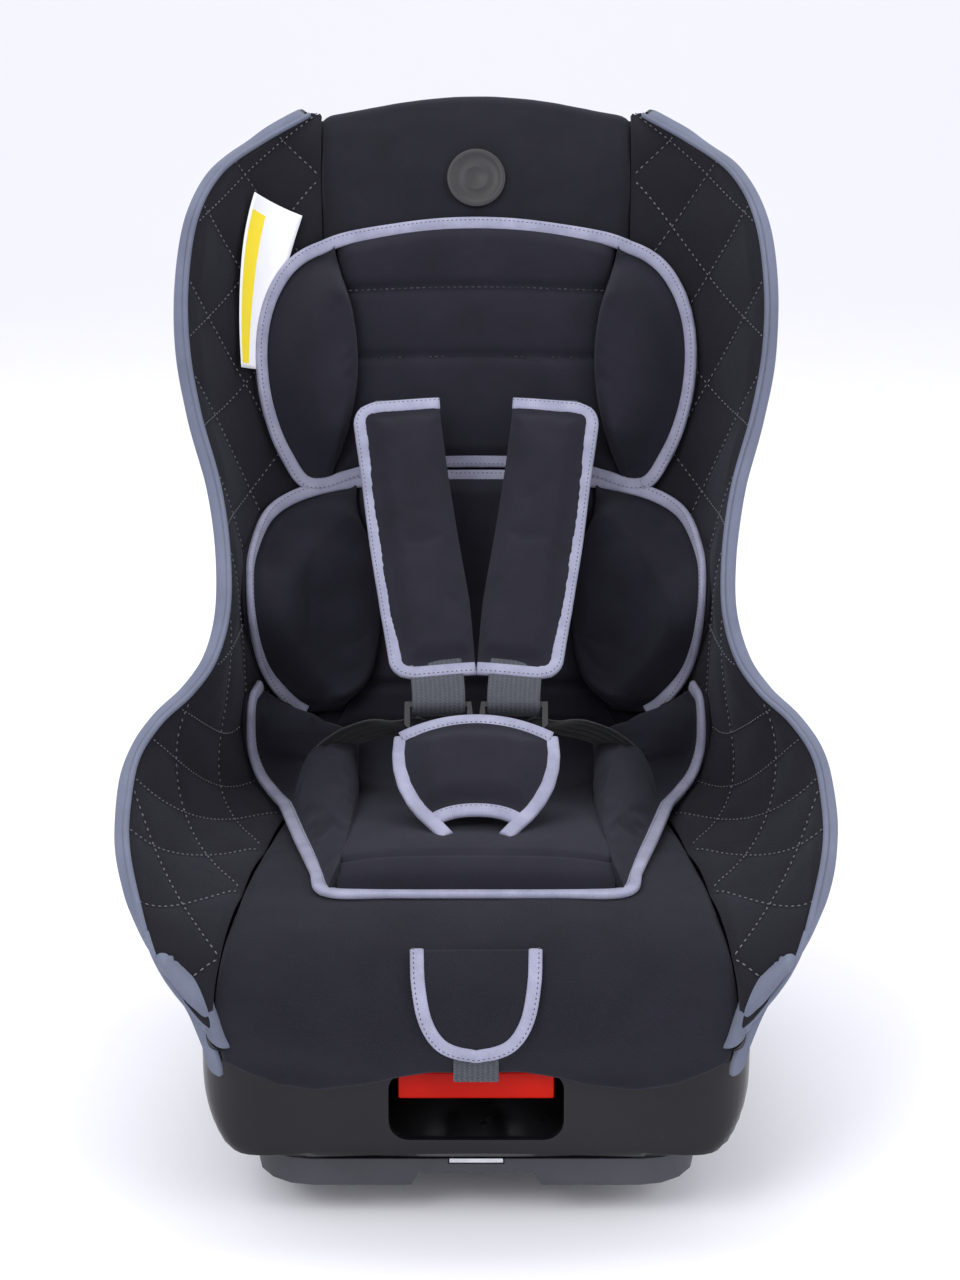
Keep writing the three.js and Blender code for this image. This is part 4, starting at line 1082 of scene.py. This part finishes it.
def rounded_box(x, y, z, corner, axis):
    """Points and faces of a box whose edges along one axis are rounded. Millimetres."""
    spans = [x, y, z]
    a, b = [k for k in range(3) if k != axis]
    outline = []
    for quarter, (at_a, at_b) in enumerate(((1, 1), (0, 1), (0, 0), (1, 0))):
        centre_a = spans[a][at_a] + corner * (1 - 2 * at_a)
        centre_b = spans[b][at_b] + corner * (1 - 2 * at_b)
        for step in range(7):
            angle = math.radians(90 * quarter + 15 * step)
            outline.append((centre_a + corner * math.cos(angle), centre_b + corner * math.sin(angle)))
    points = []
    for end in spans[axis]:
        for pa, pb in outline:
            point = [0.0, 0.0, 0.0]
            point[a], point[b], point[axis] = pa * MM, pb * MM, end * MM
            points.append(point)
    n = len(outline)
    faces = [[k, (k + 1) % n, n + (k + 1) % n, n + k] for k in range(n)]
    return points, faces + [list(range(n))[::-1], list(range(n, 2 * n))]


def carve(obj, cutters):
    """Cuts solids out of an object after its other modifiers, and keeps the result as its mesh."""
    for points, faces in cutters:
        tool = add_object("cutter", points, faces, SHELL_GLOSS)
        cut = obj.modifiers.new("Cut", "BOOLEAN")
        cut.operation = "DIFFERENCE"
        cut.solver = "EXACT"
        cut.object = tool
        settle(obj)
        bpy.data.objects.remove(tool)


def settle(obj):
    """Replaces an object's mesh by what its modifiers make of it."""
    graph = bpy.context.evaluated_depsgraph_get()
    graph.update()
    result = bpy.data.meshes.new_from_object(obj.evaluated_get(graph), depsgraph=graph)
    obj.modifiers.clear()
    obj.data = result


def smooth_by_angle(obj, degrees=35):
    """Marks the edges sharper than an angle, so that flat faces stay flat."""
    shape = bmesh.new()
    shape.from_mesh(obj.data)
    limit = math.radians(degrees)
    for edge in shape.edges:
        edge.smooth = len(edge.link_faces) == 2 and edge.calc_face_angle(0) < limit
    for face in shape.faces:
        face.smooth = True
    shape.to_mesh(obj.data)
    shape.free()
    return obj


def bucket_shell():
    """The moulded bucket behind the foam, whose outer face shows at the back."""
    u = np.linspace(0, 1, 200)[:, None] * np.ones(120)
    v = np.linspace(-0.999, 0.999, 120) * np.ones((200, 1))
    front, back = SHELL_DEPTHS
    shell = pad_mesh("shell_bucket", layer(u, v, front), layer(u, v, back), SHELL_GLOSS)
    half = SHOULDER_SLOT["half"]
    middles = (-SHOULDER_SLOT["x"], SHOULDER_SLOT["x"])
    slots = [((x - half, x + half), SHOULDER_SLOT["y"], SHOULDER_SLOT["z"]) for x in middles]
    carve(shell, [rounded_box(*slot, 6, 1) for slot in slots])
    return smooth_by_angle(shell)


# ---------------- webbing
def strap_line(points, step):
    """The smooth line through points, in even steps. Millimetres in, metres out."""
    points = np.array(points, float) * MM
    dense = catmull(points, np.linspace(0, 1, 30 * len(points)))
    return resample(dense, step * MM)


def strap(name, points, width, look, across=((1, 0, 0), (1, 0, 0))):
    """Flat webbing along points; across gives the width direction at even places along it."""
    path = strap_line(points, 4.0)
    at = np.linspace(0, 1, len(path))
    across = np.array(across, float)
    places = np.linspace(0, 1, len(across))
    way = np.stack([np.interp(at, places, across[:, k]) for k in range(3)], -1)
    normal = unit(np.cross(way, tangents(path)))
    return sweep(name, path, normal, oval(width, WEB_THICKNESS, 6, 26), look)


def flip(points, side):
    return [(x * side, y, z) for x, y, z in points]


WEB_THICKNESS = 1.7
HARNESS = [(21, 177, 300), (30, 187, 335), (44, 196, 370), (50, 197, 389), (52, 187, 396), (52, 165, 395),
           (52, 140, 391), (51, 120, 384), (46, 100, 358), (39, 70, 320), (31, 36, 283), (27, 14, 260),
           (25, 0, 247.5), (24, -8.3, 237.4), (24, -12.4, 230.8), (24, -10.6, 226.6), (24, -8.5, 223.8)]
HIP = [(31, -1.8, 217.4), (41, 3.5, 214), (56, 17, 208), (80, 36, 195), (95, 54, 178), (101, 65, 158),
       (101, 67, 142), (101, 67, 127)]
HIP_ACROSS = [(1, 0, 0), (0.95, -0.2, 0.2), (0.6, -0.5, 0.6), (0.7, -0.5, 0.5), (0.9, -0.3, 0.2), (1, 0, 0),
              (1, 0, 0), (1, 0, 0)]
CROTCH = [(0, -67, 128), (0, -67, 148), (0, -66, 160), (0, -61, 171)]
ADJUSTER = [(0, 169, 266), (0, 158, 220), (0, 147, 182), (0, 129, 156), (0, 107, 138), (0, 60, 112),
            (0, -60, 108), (0, -160, 102), (0, -205, 107.2), (0, -222, 108.3), (0, -237, 108.3),
            (0, -240, 103), (0, -240.6, 92), (0, -240, 82)]
PAD_LINE = [(51.5, 125, 396.5), (50.5, 118, 388), (46, 100, 360), (39, 70, 320), (31, 36, 283),
            (27, 14, 260), (25.5, 3, 250)]
PAD_WIDTHS = (54, 53, 54, 54, 50)
PAD_CORNER = 11
PAD_RISE = (0.8, 5.8)  # at the edge of a shoulder pad, and more in its middle
BINDING_SECTION = (9.0, 5.0)


def binding(name, path, normal, closed=False, inner=1, section=BINDING_SECTION):
    """A folded tape along an edge, and the row of dark stitches near its inner edge.

    inner is 1 or -1: the side of the path that the piece lies on.
    """
    path, normal = resample(path, 2.2 * MM, normal, closed=closed)
    width, height = section
    folded = sweep(name, path, normal, oval(width, height, 2.7, 20), BINDING, closed)
    row = seam_row(path, normal, inner * width * 0.24, height * 0.45, closed)
    row = [np.vstack([part, part[:1]]) if closed else part for part in row]
    seam = stitches(name + "_seam", [row], DARK_THREAD, length=1.7, gap=1.3, width=0.75, height=0.5)
    return [folded, seam]


def shoulder_pad(hand, side):
    path = strap_line(flip(PAD_LINE, side), 2.4)
    tangent = tangents(path)
    normal = -unit(np.cross(tangent, RIGHT))
    normal *= np.where(normal[:, 1:2] > 0, -1, 1)
    across = unit(np.cross(tangent, normal))
    across *= np.sign(across[:1, :1]) * side
    along = lengths(path) / MM
    t = along / along[-1]
    half = np.interp(t, np.linspace(0, 1, len(PAD_WIDTHS)), PAD_WIDTHS) / 2
    end = np.minimum(along, along[-1] - along)
    round_off = PAD_CORNER - np.sqrt(np.maximum(PAD_CORNER**2 - np.maximum(PAD_CORNER - end, 0) ** 2, 0))
    outer = half - round_off
    columns = 26
    s = np.linspace(0, 1, columns)
    place = -half[:, None] * (1 - s) + outer[:, None] * s
    inward = np.minimum(np.minimum(s * 1.6 + 0.1, 1 - s)[None] * 2 * half[:, None], end[:, None])
    rim = smooth_step((inward - RIM_FLAT - 1) / 12)
    rise = PAD_RISE[0] + PAD_RISE[1] * rim
    ground = path[:, None] + across[:, None] * place[..., None] * MM
    droop = -0.9 * (np.abs(place) / 27) ** 3
    creases = 0.35 * wobble(ground, 0.03, 3.0 + side)
    top = ground + normal[:, None] * (rise + droop + creases)[..., None] * MM
    bottom = ground - normal[:, None] * (1.8 + 3.0 * rim - droop)[..., None] * MM
    name = f"shoulder_pad_{hand}"
    pad = pad_mesh(name + "_cover", top, bottom, PAD_CLOTH)
    swell(pad, sewn_border(*ground.shape[:2]), cap=2)
    middle = (top + bottom) / 2
    edge = np.concatenate([middle[0], middle[1:-1, -1], middle[-1, ::-1]])
    first, last = (np.repeat(normal[k][None], columns, 0) for k in (0, -1))
    ways = np.concatenate([first, normal[1:-1], last])
    return pad, binding(name + "_binding", edge, ways, inner=-side)


# ---------------- crotch pad
CROTCH_ORIGIN = Vector((0, -112, 189)) * MM
CROTCH_LEAN = math.radians(-56)
CROTCH_WIDTHS = ((-10, 17), (0, 24), (10, 32), (20, 38.5), (32, 44), (45, 47), (56, 47.8), (68, 47),
                 (78, 45.5))  # z up the pad, and the half width there
CROTCH_LENGTH = 68


def crotch_frame(points):
    """Points from the crotch pad's own axes, in millimetres and with z up the pad, to the frame's."""
    x, y, z = np.moveaxis(np.asarray(points, float) * MM, -1, 0)
    c, s = math.cos(CROTCH_LEAN), math.sin(CROTCH_LEAN)
    return np.stack([x, y * c - z * s, y * s + z * c], -1) + np.array(CROTCH_ORIGIN)


def crotch_half(z):
    return np.interp(z, *zip(*CROTCH_WIDTHS))


def crotch_pad():
    rows, columns = 40, 44
    s = np.linspace(-1, 1, columns)[None]
    t = np.linspace(0, 1, rows)[:, None]
    low = 10 - 5 * s**2
    high = 78 - 9 * s**2
    z = low + (high - low) * t
    x = crotch_half(z) * s
    to_edge = np.minimum(np.minimum(t, 1 - t) * CROTCH_LENGTH, (1 - np.abs(s)) * 44)
    rim = smooth_step((to_edge - RIM_FLAT) / 14)
    creases = 0.6 * wobble(np.stack([x, z, np.zeros_like(z)], -1) * MM, 0.03, 1.7)
    front = -1.5 - 5.5 * rim - 1.5 * (1 - s**2) + creases * rim
    back = 1.5 + 1.0 * rim
    curl = 5.5 * np.abs(s) ** 2.5
    top = crotch_frame(np.stack([x, front + curl, z], -1))
    bottom = crotch_frame(np.stack([x, back + curl, z], -1))
    pad = pad_mesh("crotch_pad_cover", top, bottom, PAD_CLOTH)
    swell(pad, sewn_border(rows, columns), cap=2)
    return pad, crotch_bindings((top + bottom) / 2)


def crotch_bindings(edge):
    """The tapes up both sides of the crotch pad and along its ends, from the middle of its thickness."""
    out = crotch_frame(np.array([0, -1, 0])) - crotch_frame(np.zeros(3))
    bindings = []
    z = np.linspace(-9, 69, 44)
    y = np.interp(z, (-9, 12, 69), (-1, 3, 5))
    for hand, side in SIDES:
        line = crotch_frame(np.stack([crotch_half(z) * side, y, z], -1))
        ways = np.repeat(out[None], len(line), 0)
        bindings += binding(f"crotch_binding_{hand}", line, ways, inner=-side)
    for name, line, lift, inner in (("top", edge[-1], 0.8, 1), ("low", edge[0], 1.2, -1)):
        ways = np.repeat(out[None] / MM, len(line), 0)
        bindings += binding(f"crotch_binding_{name}", line + out * lift, ways, inner=inner)
    return bindings


# ---------------- front flap, badge and label
FLAP_OUTLINE = ((0.0503, 0.004), (0.053, 0.024), (0.0575, 0.042), (0.066, 0.058), (0.0852, 0.076),
                (0.118, 0.088), (0.1507, 0.092))  # u and half width in v
FLAP_LIFT = 7.3
FLAP_THICKNESS = 1.0


def front_flap():
    rows, columns = 46, 30
    u = np.linspace(FLAP_OUTLINE[0][0], FLAP_OUTLINE[-1][0], rows)[:, None]
    half = np.interp(u, *zip(*FLAP_OUTLINE))
    s = np.linspace(-1, 1, columns)[None]
    v = half * s
    creases = 0.5 * wobble(surface(u, v), 0.03, 4.0)
    edge = np.clip((1 - np.abs(s)) * 6, 0, 1) ** 0.6
    lift = FLAP_LIFT + 1.6 * edge + creases
    under = FLAP_LIFT - FLAP_THICKNESS
    flap = pad_mesh("adjuster_flap_cloth", layer(u, v, -lift), layer(u, v, -under), BLACK_CLOTH)
    tip = (FLAP_OUTLINE[0][0] - 0.0012, 0)
    outline = [*FLAP_OUTLINE[::-1], tip, *mirrored(FLAP_OUTLINE, -1)]
    path, normal = bound_path(outline, (FLAP_LIFT + 1.1, FLAP_LIFT + 1.1))
    return flap, binding("adjuster_flap_binding", path, normal, inner=-1, section=(8.0, 3.8))


BADGE_Z = 535
BADGE_LIFT = 6.2
BADGE_PROFILE = ((6.6, 1.5), (7.4, 2.1), (8.2, 2.1), (9, 1.5), (15.6, 1.5), (16.6, 2.6), (18.6, 2.8),
                 (19.8, 2.2), (20, 1), (20, -2))  # radius and height


def badge():
    """A round rubber badge with a raised rim and a plain ridge inside it."""
    us = np.linspace(0.6, 1, 400)
    u = np.interp(BADGE_Z * MM, surface(us, np.zeros(400))[:, 2], us)
    normal = -away(u, 0.0)
    centre = surface(u, 0.0) + normal * BADGE_LIFT * MM
    side = unit(np.cross(normal, (0, 0, 1)))
    up = np.cross(side, normal)
    turns = np.linspace(0, 2 * math.pi, 96, endpoint=False)
    rings = [centre + (side * np.cos(a) + up * np.sin(a)) * r * MM + normal * h * MM
             for r, h in BADGE_PROFILE for a in turns]
    count = len(turns)
    faces = grid_quads(len(BADGE_PROFILE), count, around=True).tolist()
    last = (len(BADGE_PROFILE) - 1) * count
    faces += [list(range(count)), list(range(last, last + count))[::-1]]
    piece = add_object("round_badge", rings, faces, RUBBER)
    return smooth_by_angle(piece, 50)


TAG_CORNERS = ((0.742, -0.771), (0.745, -0.688), (0.860, -0.559), (0.878, -0.790))  # (u, v), from low
TAG_LIFTS = (7.5, 7.1)


def label():
    """A blank label sewn flat on the left wing, and its width and length in metres."""
    rows, columns = 40, 14
    low = np.linspace(TAG_CORNERS[0], TAG_CORNERS[1], columns)
    high = np.linspace(TAG_CORNERS[3], TAG_CORNERS[2], columns)
    t = np.linspace(0, 1, rows)[:, None, None]
    uv = low[None] * (1 - t) + high[None] * t
    curl = 1.2 * t[..., 0] ** 2
    top, bottom = (layer(uv[..., 0], uv[..., 1], -(lift + curl)) for lift in TAG_LIFTS)
    tag = pad_mesh("blank_tag", top, bottom, TAG)
    return tag, (lengths(top[rows // 2])[-1], lengths(top[:, columns // 2])[-1])


# ---------------- putting the pieces together
def add_shell():
    tub = smooth_by_angle(tub_shell(), 32)
    bucket = bucket_shell()
    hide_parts("seat_shell")
    finish("seat", "shell_plastic", tub, bucket)


def add_cover():
    centre = skin_mesh("cover_centre_cloth", cover_centre(), 3.0, BLACK_CLOTH)
    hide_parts("cover_centre", "foam_seat", "foam_back")
    finish("seat", "black_cloth", centre)
    for hand, side in SIDES:
        panel = skin_mesh(f"cover_side_{hand}_cloth", cover_side(side), 2.6 * side, QUILTED_CLOTH)
        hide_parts(f"cover_side_{hand}", f"foam_wing_{hand}")
        finish("seat", "quilted_cloth", panel)
        lines = stitches(f"quilting_{hand}", quilt_stitches(side), GREY_THREAD, length=2.6, gap=2.2)
        finish("seat", "quilted_cloth", lines)
        wrap = skin_mesh(f"cover_gusset_{hand}_cloth", cover_gusset(side), 1.4 * side, GREY_CLOTH)
        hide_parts(f"cover_gusset_{hand}")
        finish("seat", "grey_cloth", wrap)
        corner = skin_mesh(f"gusset_front_{hand}", gusset_front(side), 1.6 * side, GREY_CLOTH)
        finish("seat", "grey_cloth", corner)
        for name, line in (("wing", wing_piping(side)), ("front", front_piping(side))):
            piping = sweep(f"{name}_piping_{hand}", *line, oval(3.8, 3.4, 2.2, 14), GREY_CLOTH)
            finish("seat", "grey_cloth", piping)


def add_cushions():
    head = pad_mesh("head_insert_cloth", *head_cushion(), PAD_CLOTH)
    back = pad_mesh("back_insert_cloth", *back_cushion(), PAD_CLOTH)
    seat = pad_mesh("seat_insert_cloth", *seat_cushion(), PAD_CLOTH)
    shapes = (
        ("head", head, HEAD_INNER, HEAD_OUTER, 28, (12, 7)),
        ("back", back, BACK_INNER, BACK_OUTER, 26, (12, 6.5)),
        ("seat", seat, SEAT_INNER, SEAT_OUTER, 28, (22, 7)),
    )
    for kind, centre, inner, outer, rise, base in shapes:
        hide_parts(f"{kind}_insert")
        finish("seat", "black_cloth", centre)
        for hand, side in SIDES:
            top, bottom = lens(mirrored(inner, side), mirrored(outer, side), rise, base)
            pillow = pad_mesh(f"{kind}_bolster_{hand}_cloth", top, bottom, PAD_CLOTH)
            swell(pillow, sewn_rim(*top.shape[:2]), cap=4)
            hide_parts(f"{kind}_bolster_{hand}")
            finish("seat", "black_cloth", pillow)
    loop = HEAD_OUTER[::-1] + HEAD_TOP[1:-1] + mirrored(HEAD_OUTER, -1) + HEAD_BOTTOM[::-1][1:-1]
    over = BACK_OUTER[::-1] + BACK_TOP[1:-1] + mirrored(BACK_OUTER, -1)
    round_seat = SEAT_OUTER[::-1] + SEAT_FRONT[1:-1] + mirrored(SEAT_OUTER, -1)
    pieces = binding("head_binding", *bound_path(loop, (8.5, 8.5), closed=True), closed=True)
    pieces += binding("back_binding", *bound_path(over, (8.0, 8.0)))
    pieces += binding("seat_binding", *bound_path(round_seat, SEAT_BINDING_LIFTS))
    seams = [bound_path([(c, -0.4), (c, 0), (c, 0.4)], (8.8, 8.8)) for c in HEAD_CHANNELS]
    pieces.append(stitches("head_channel_seams", seams, DARK_THREAD, length=2.4, gap=1.8))
    finish("seat", "grey_cloth", *pieces)


def add_harness():
    for hand, side in SIDES:
        harness = strap(f"harness_{hand}_web", flip(HARNESS, side), 34, WEBBING)
        hip = strap(f"hip_{hand}_web", flip(HIP, side), 24, DARK_WEBBING, across=flip(HIP_ACROSS, side))
        pad, edges = shoulder_pad(hand, side)
        for piece, node in ((harness, "harness_strap"), (hip, "hip_strap"), (pad, "shoulder_pad")):
            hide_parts(f"{node}_{hand}")
        finish("seat", "webbing", harness)
        finish("seat", "dark_webbing", hip)
        finish("seat", "black_cloth", pad)
        finish("seat", "grey_cloth", *edges)
    crotch = strap("crotch_web", CROTCH, 32, DARK_WEBBING)
    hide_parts("crotch_strap")
    finish("seat", "dark_webbing", crotch)
    tail = strap("adjuster_web", ADJUSTER, 26, WEBBING)
    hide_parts("adjuster_strap")
    finish("seat", "webbing", tail)
    pad, edges = crotch_pad()
    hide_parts("crotch_pad")
    finish("seat", "black_cloth", pad)
    finish("seat", "grey_cloth", *edges)


def add_front():
    flap, edges = front_flap()
    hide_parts("adjuster_flap")
    finish("flap", "black_cloth", flap)
    finish("flap", "grey_cloth", *edges)
    round_badge = badge()
    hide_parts("badge")
    finish("seat", "badge_rubber", round_badge)
    tag, size = label()
    finish("seat", "webbing", tag)


HIDDEN_BEVEL = 0.4
HARD_PARTS = (
    ("base", "base_plastic", BASE_GREY, 1.2, ("base_frame",)),
    ("base", "steel", STEEL, HIDDEN_BEVEL, ("lock_rack", "rail_right", "rail_left")),
    ("seat", "black_plastic", BLACK_PLASTIC, HIDDEN_BEVEL, ("runner_right", "runner_left")),
    ("seat", "steel", STEEL, HIDDEN_BEVEL, ("hold_down_hook_right", "hold_down_hook_left")),
    ("seat", "black_plastic", BLACK_PLASTIC, 0.8, ("buckle_front", "buckle_rear")),
    ("seat", "steel", STEEL, 0.1, ("button_spring",)),
    ("seat", "steel", STEEL, 0.3, ("buckle_latch", "hip_anchor_right", "hip_anchor_left", "crotch_anchor")),
    ("seat", "steel", STEEL, HIDDEN_BEVEL, ("yoke_plate",)),
    ("seat", "black_plastic", BLACK_PLASTIC, HIDDEN_BEVEL, ("adjuster_housing",)),
    ("seat", "steel", STEEL, 0.2, ("adjuster_pin",)),
    ("seat", "black_plastic", BLACK_PLASTIC, 0.5, ("handle_guide",)),
    ("handle", "red_plastic", RED_PLASTIC, 1.6, ("recline_handle",)),
    ("lock", "steel", STEEL, HIDDEN_BEVEL, ("lock_bar",)),
    ("adjuster_button", "red_plastic", RED_PLASTIC, 0.6, ("adjuster_button",)),
    ("buckle_button", "red_plastic", RED_PLASTIC, 0.8, ("buckle_button",)),
    ("tongue_right", "black_plastic", BLACK_PLASTIC, 0.5, ("tongue_right",)),
    ("tongue_left", "black_plastic", BLACK_PLASTIC, 0.5, ("tongue_left",)),
    ("clamp_right", "red_plastic", RED_PLASTIC, 0.8, ("belt_clamp_right",)),
    ("clamp_left", "red_plastic", RED_PLASTIC, 0.8, ("belt_clamp_left",)),
)


def add_hard_parts():
    for body, slot, look, bevel, names in HARD_PARTS:
        for name in names:
            piece = moulded(name, look, bevel)
            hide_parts(name)
            finish(body, slot, piece)


# ---------------- studio
CAMERA_AT = (0.0, -1.6213, 0.7830)
CAMERA_TILT = 72.5
CAMERA_LENS = 74.9
CAMERA_SHIFT = 0.003
BACKDROP = ((-4, 0), (2, 0), (3, 0.1), (3.6, 0.45), (4, 1.2), (4, 5))  # y and z, in metres
BACKDROP_HALF = 6
WORLD_COLOUR = (0.91, 0.91, 0.96, 1)
FLOOR_COLOUR = (0.86, 0.86, 0.90, 1)
LIGHTS = (  # name, place, target, size and power
    ("key", (-1.1, -1.7, 2.0), (0, 0, 0.3), (1.3, 1.3), 30),
    ("fill", (1.7, -1.3, 1.2), (0, 0, 0.3), (1.3, 1.3), 15),
    ("top", (0.0, 0.5, 2.3), (0, 0, 0.3), (2.0, 1.4), 24),
    ("low_front", (0.0, -2.2, 0.35), (0, 0, 0.15), (1.8, 0.5), 4),
)


def area_light(name, place, target, size, power):
    light = bpy.data.lights.new(name, "AREA")
    light.shape = "RECTANGLE"
    light.size, light.size_y = size
    light.energy = power
    lamp = bpy.data.objects.new(name, light)
    lamp.location = place
    lamp.rotation_euler = (Vector(target) - Vector(place)).to_track_quat("-Z", "Y").to_euler()
    bpy.context.scene.collection.objects.link(lamp)
    return lamp


def backdrop():
    """A floor that curves up into a wall behind the seat."""
    white = Look("studio_floor", Roughness=0.85, Specular_IOR_Level=0.2)
    white.shader.inputs["Base Color"].default_value = FLOOR_COLOUR
    line = catmull(BACKDROP, np.linspace(0, 1, 60))
    points = [(x, y, z) for y, z in line for x in (-BACKDROP_HALF, BACKDROP_HALF)]
    return add_object("studio_floor", points, grid_quads(60, 2).tolist(), white.material)


def studio():
    scene = bpy.context.scene
    world = bpy.data.worlds.new("studio")
    scene.world = world
    world.use_nodes = True
    world.node_tree.nodes["Background"].inputs["Color"].default_value = WORLD_COLOUR
    floor = backdrop()
    lights = [area_light(*values) for values in LIGHTS]
    camera = bpy.data.cameras.new("camera")
    camera.sensor_fit = "VERTICAL"
    camera.sensor_height = 36
    camera.sensor_width = 27
    camera.lens = CAMERA_LENS
    camera.shift_x = CAMERA_SHIFT
    holder = bpy.data.objects.new("camera", camera)
    holder.location = CAMERA_AT
    holder.rotation_euler = (math.radians(CAMERA_TILT), 0, 0)
    scene.collection.objects.link(holder)
    scene.camera = holder
    scene.view_settings.view_transform = "Standard"


add_shell()
add_cover()
add_cushions()
add_harness()
add_front()
add_hard_parts()
run_simulations()
studio()
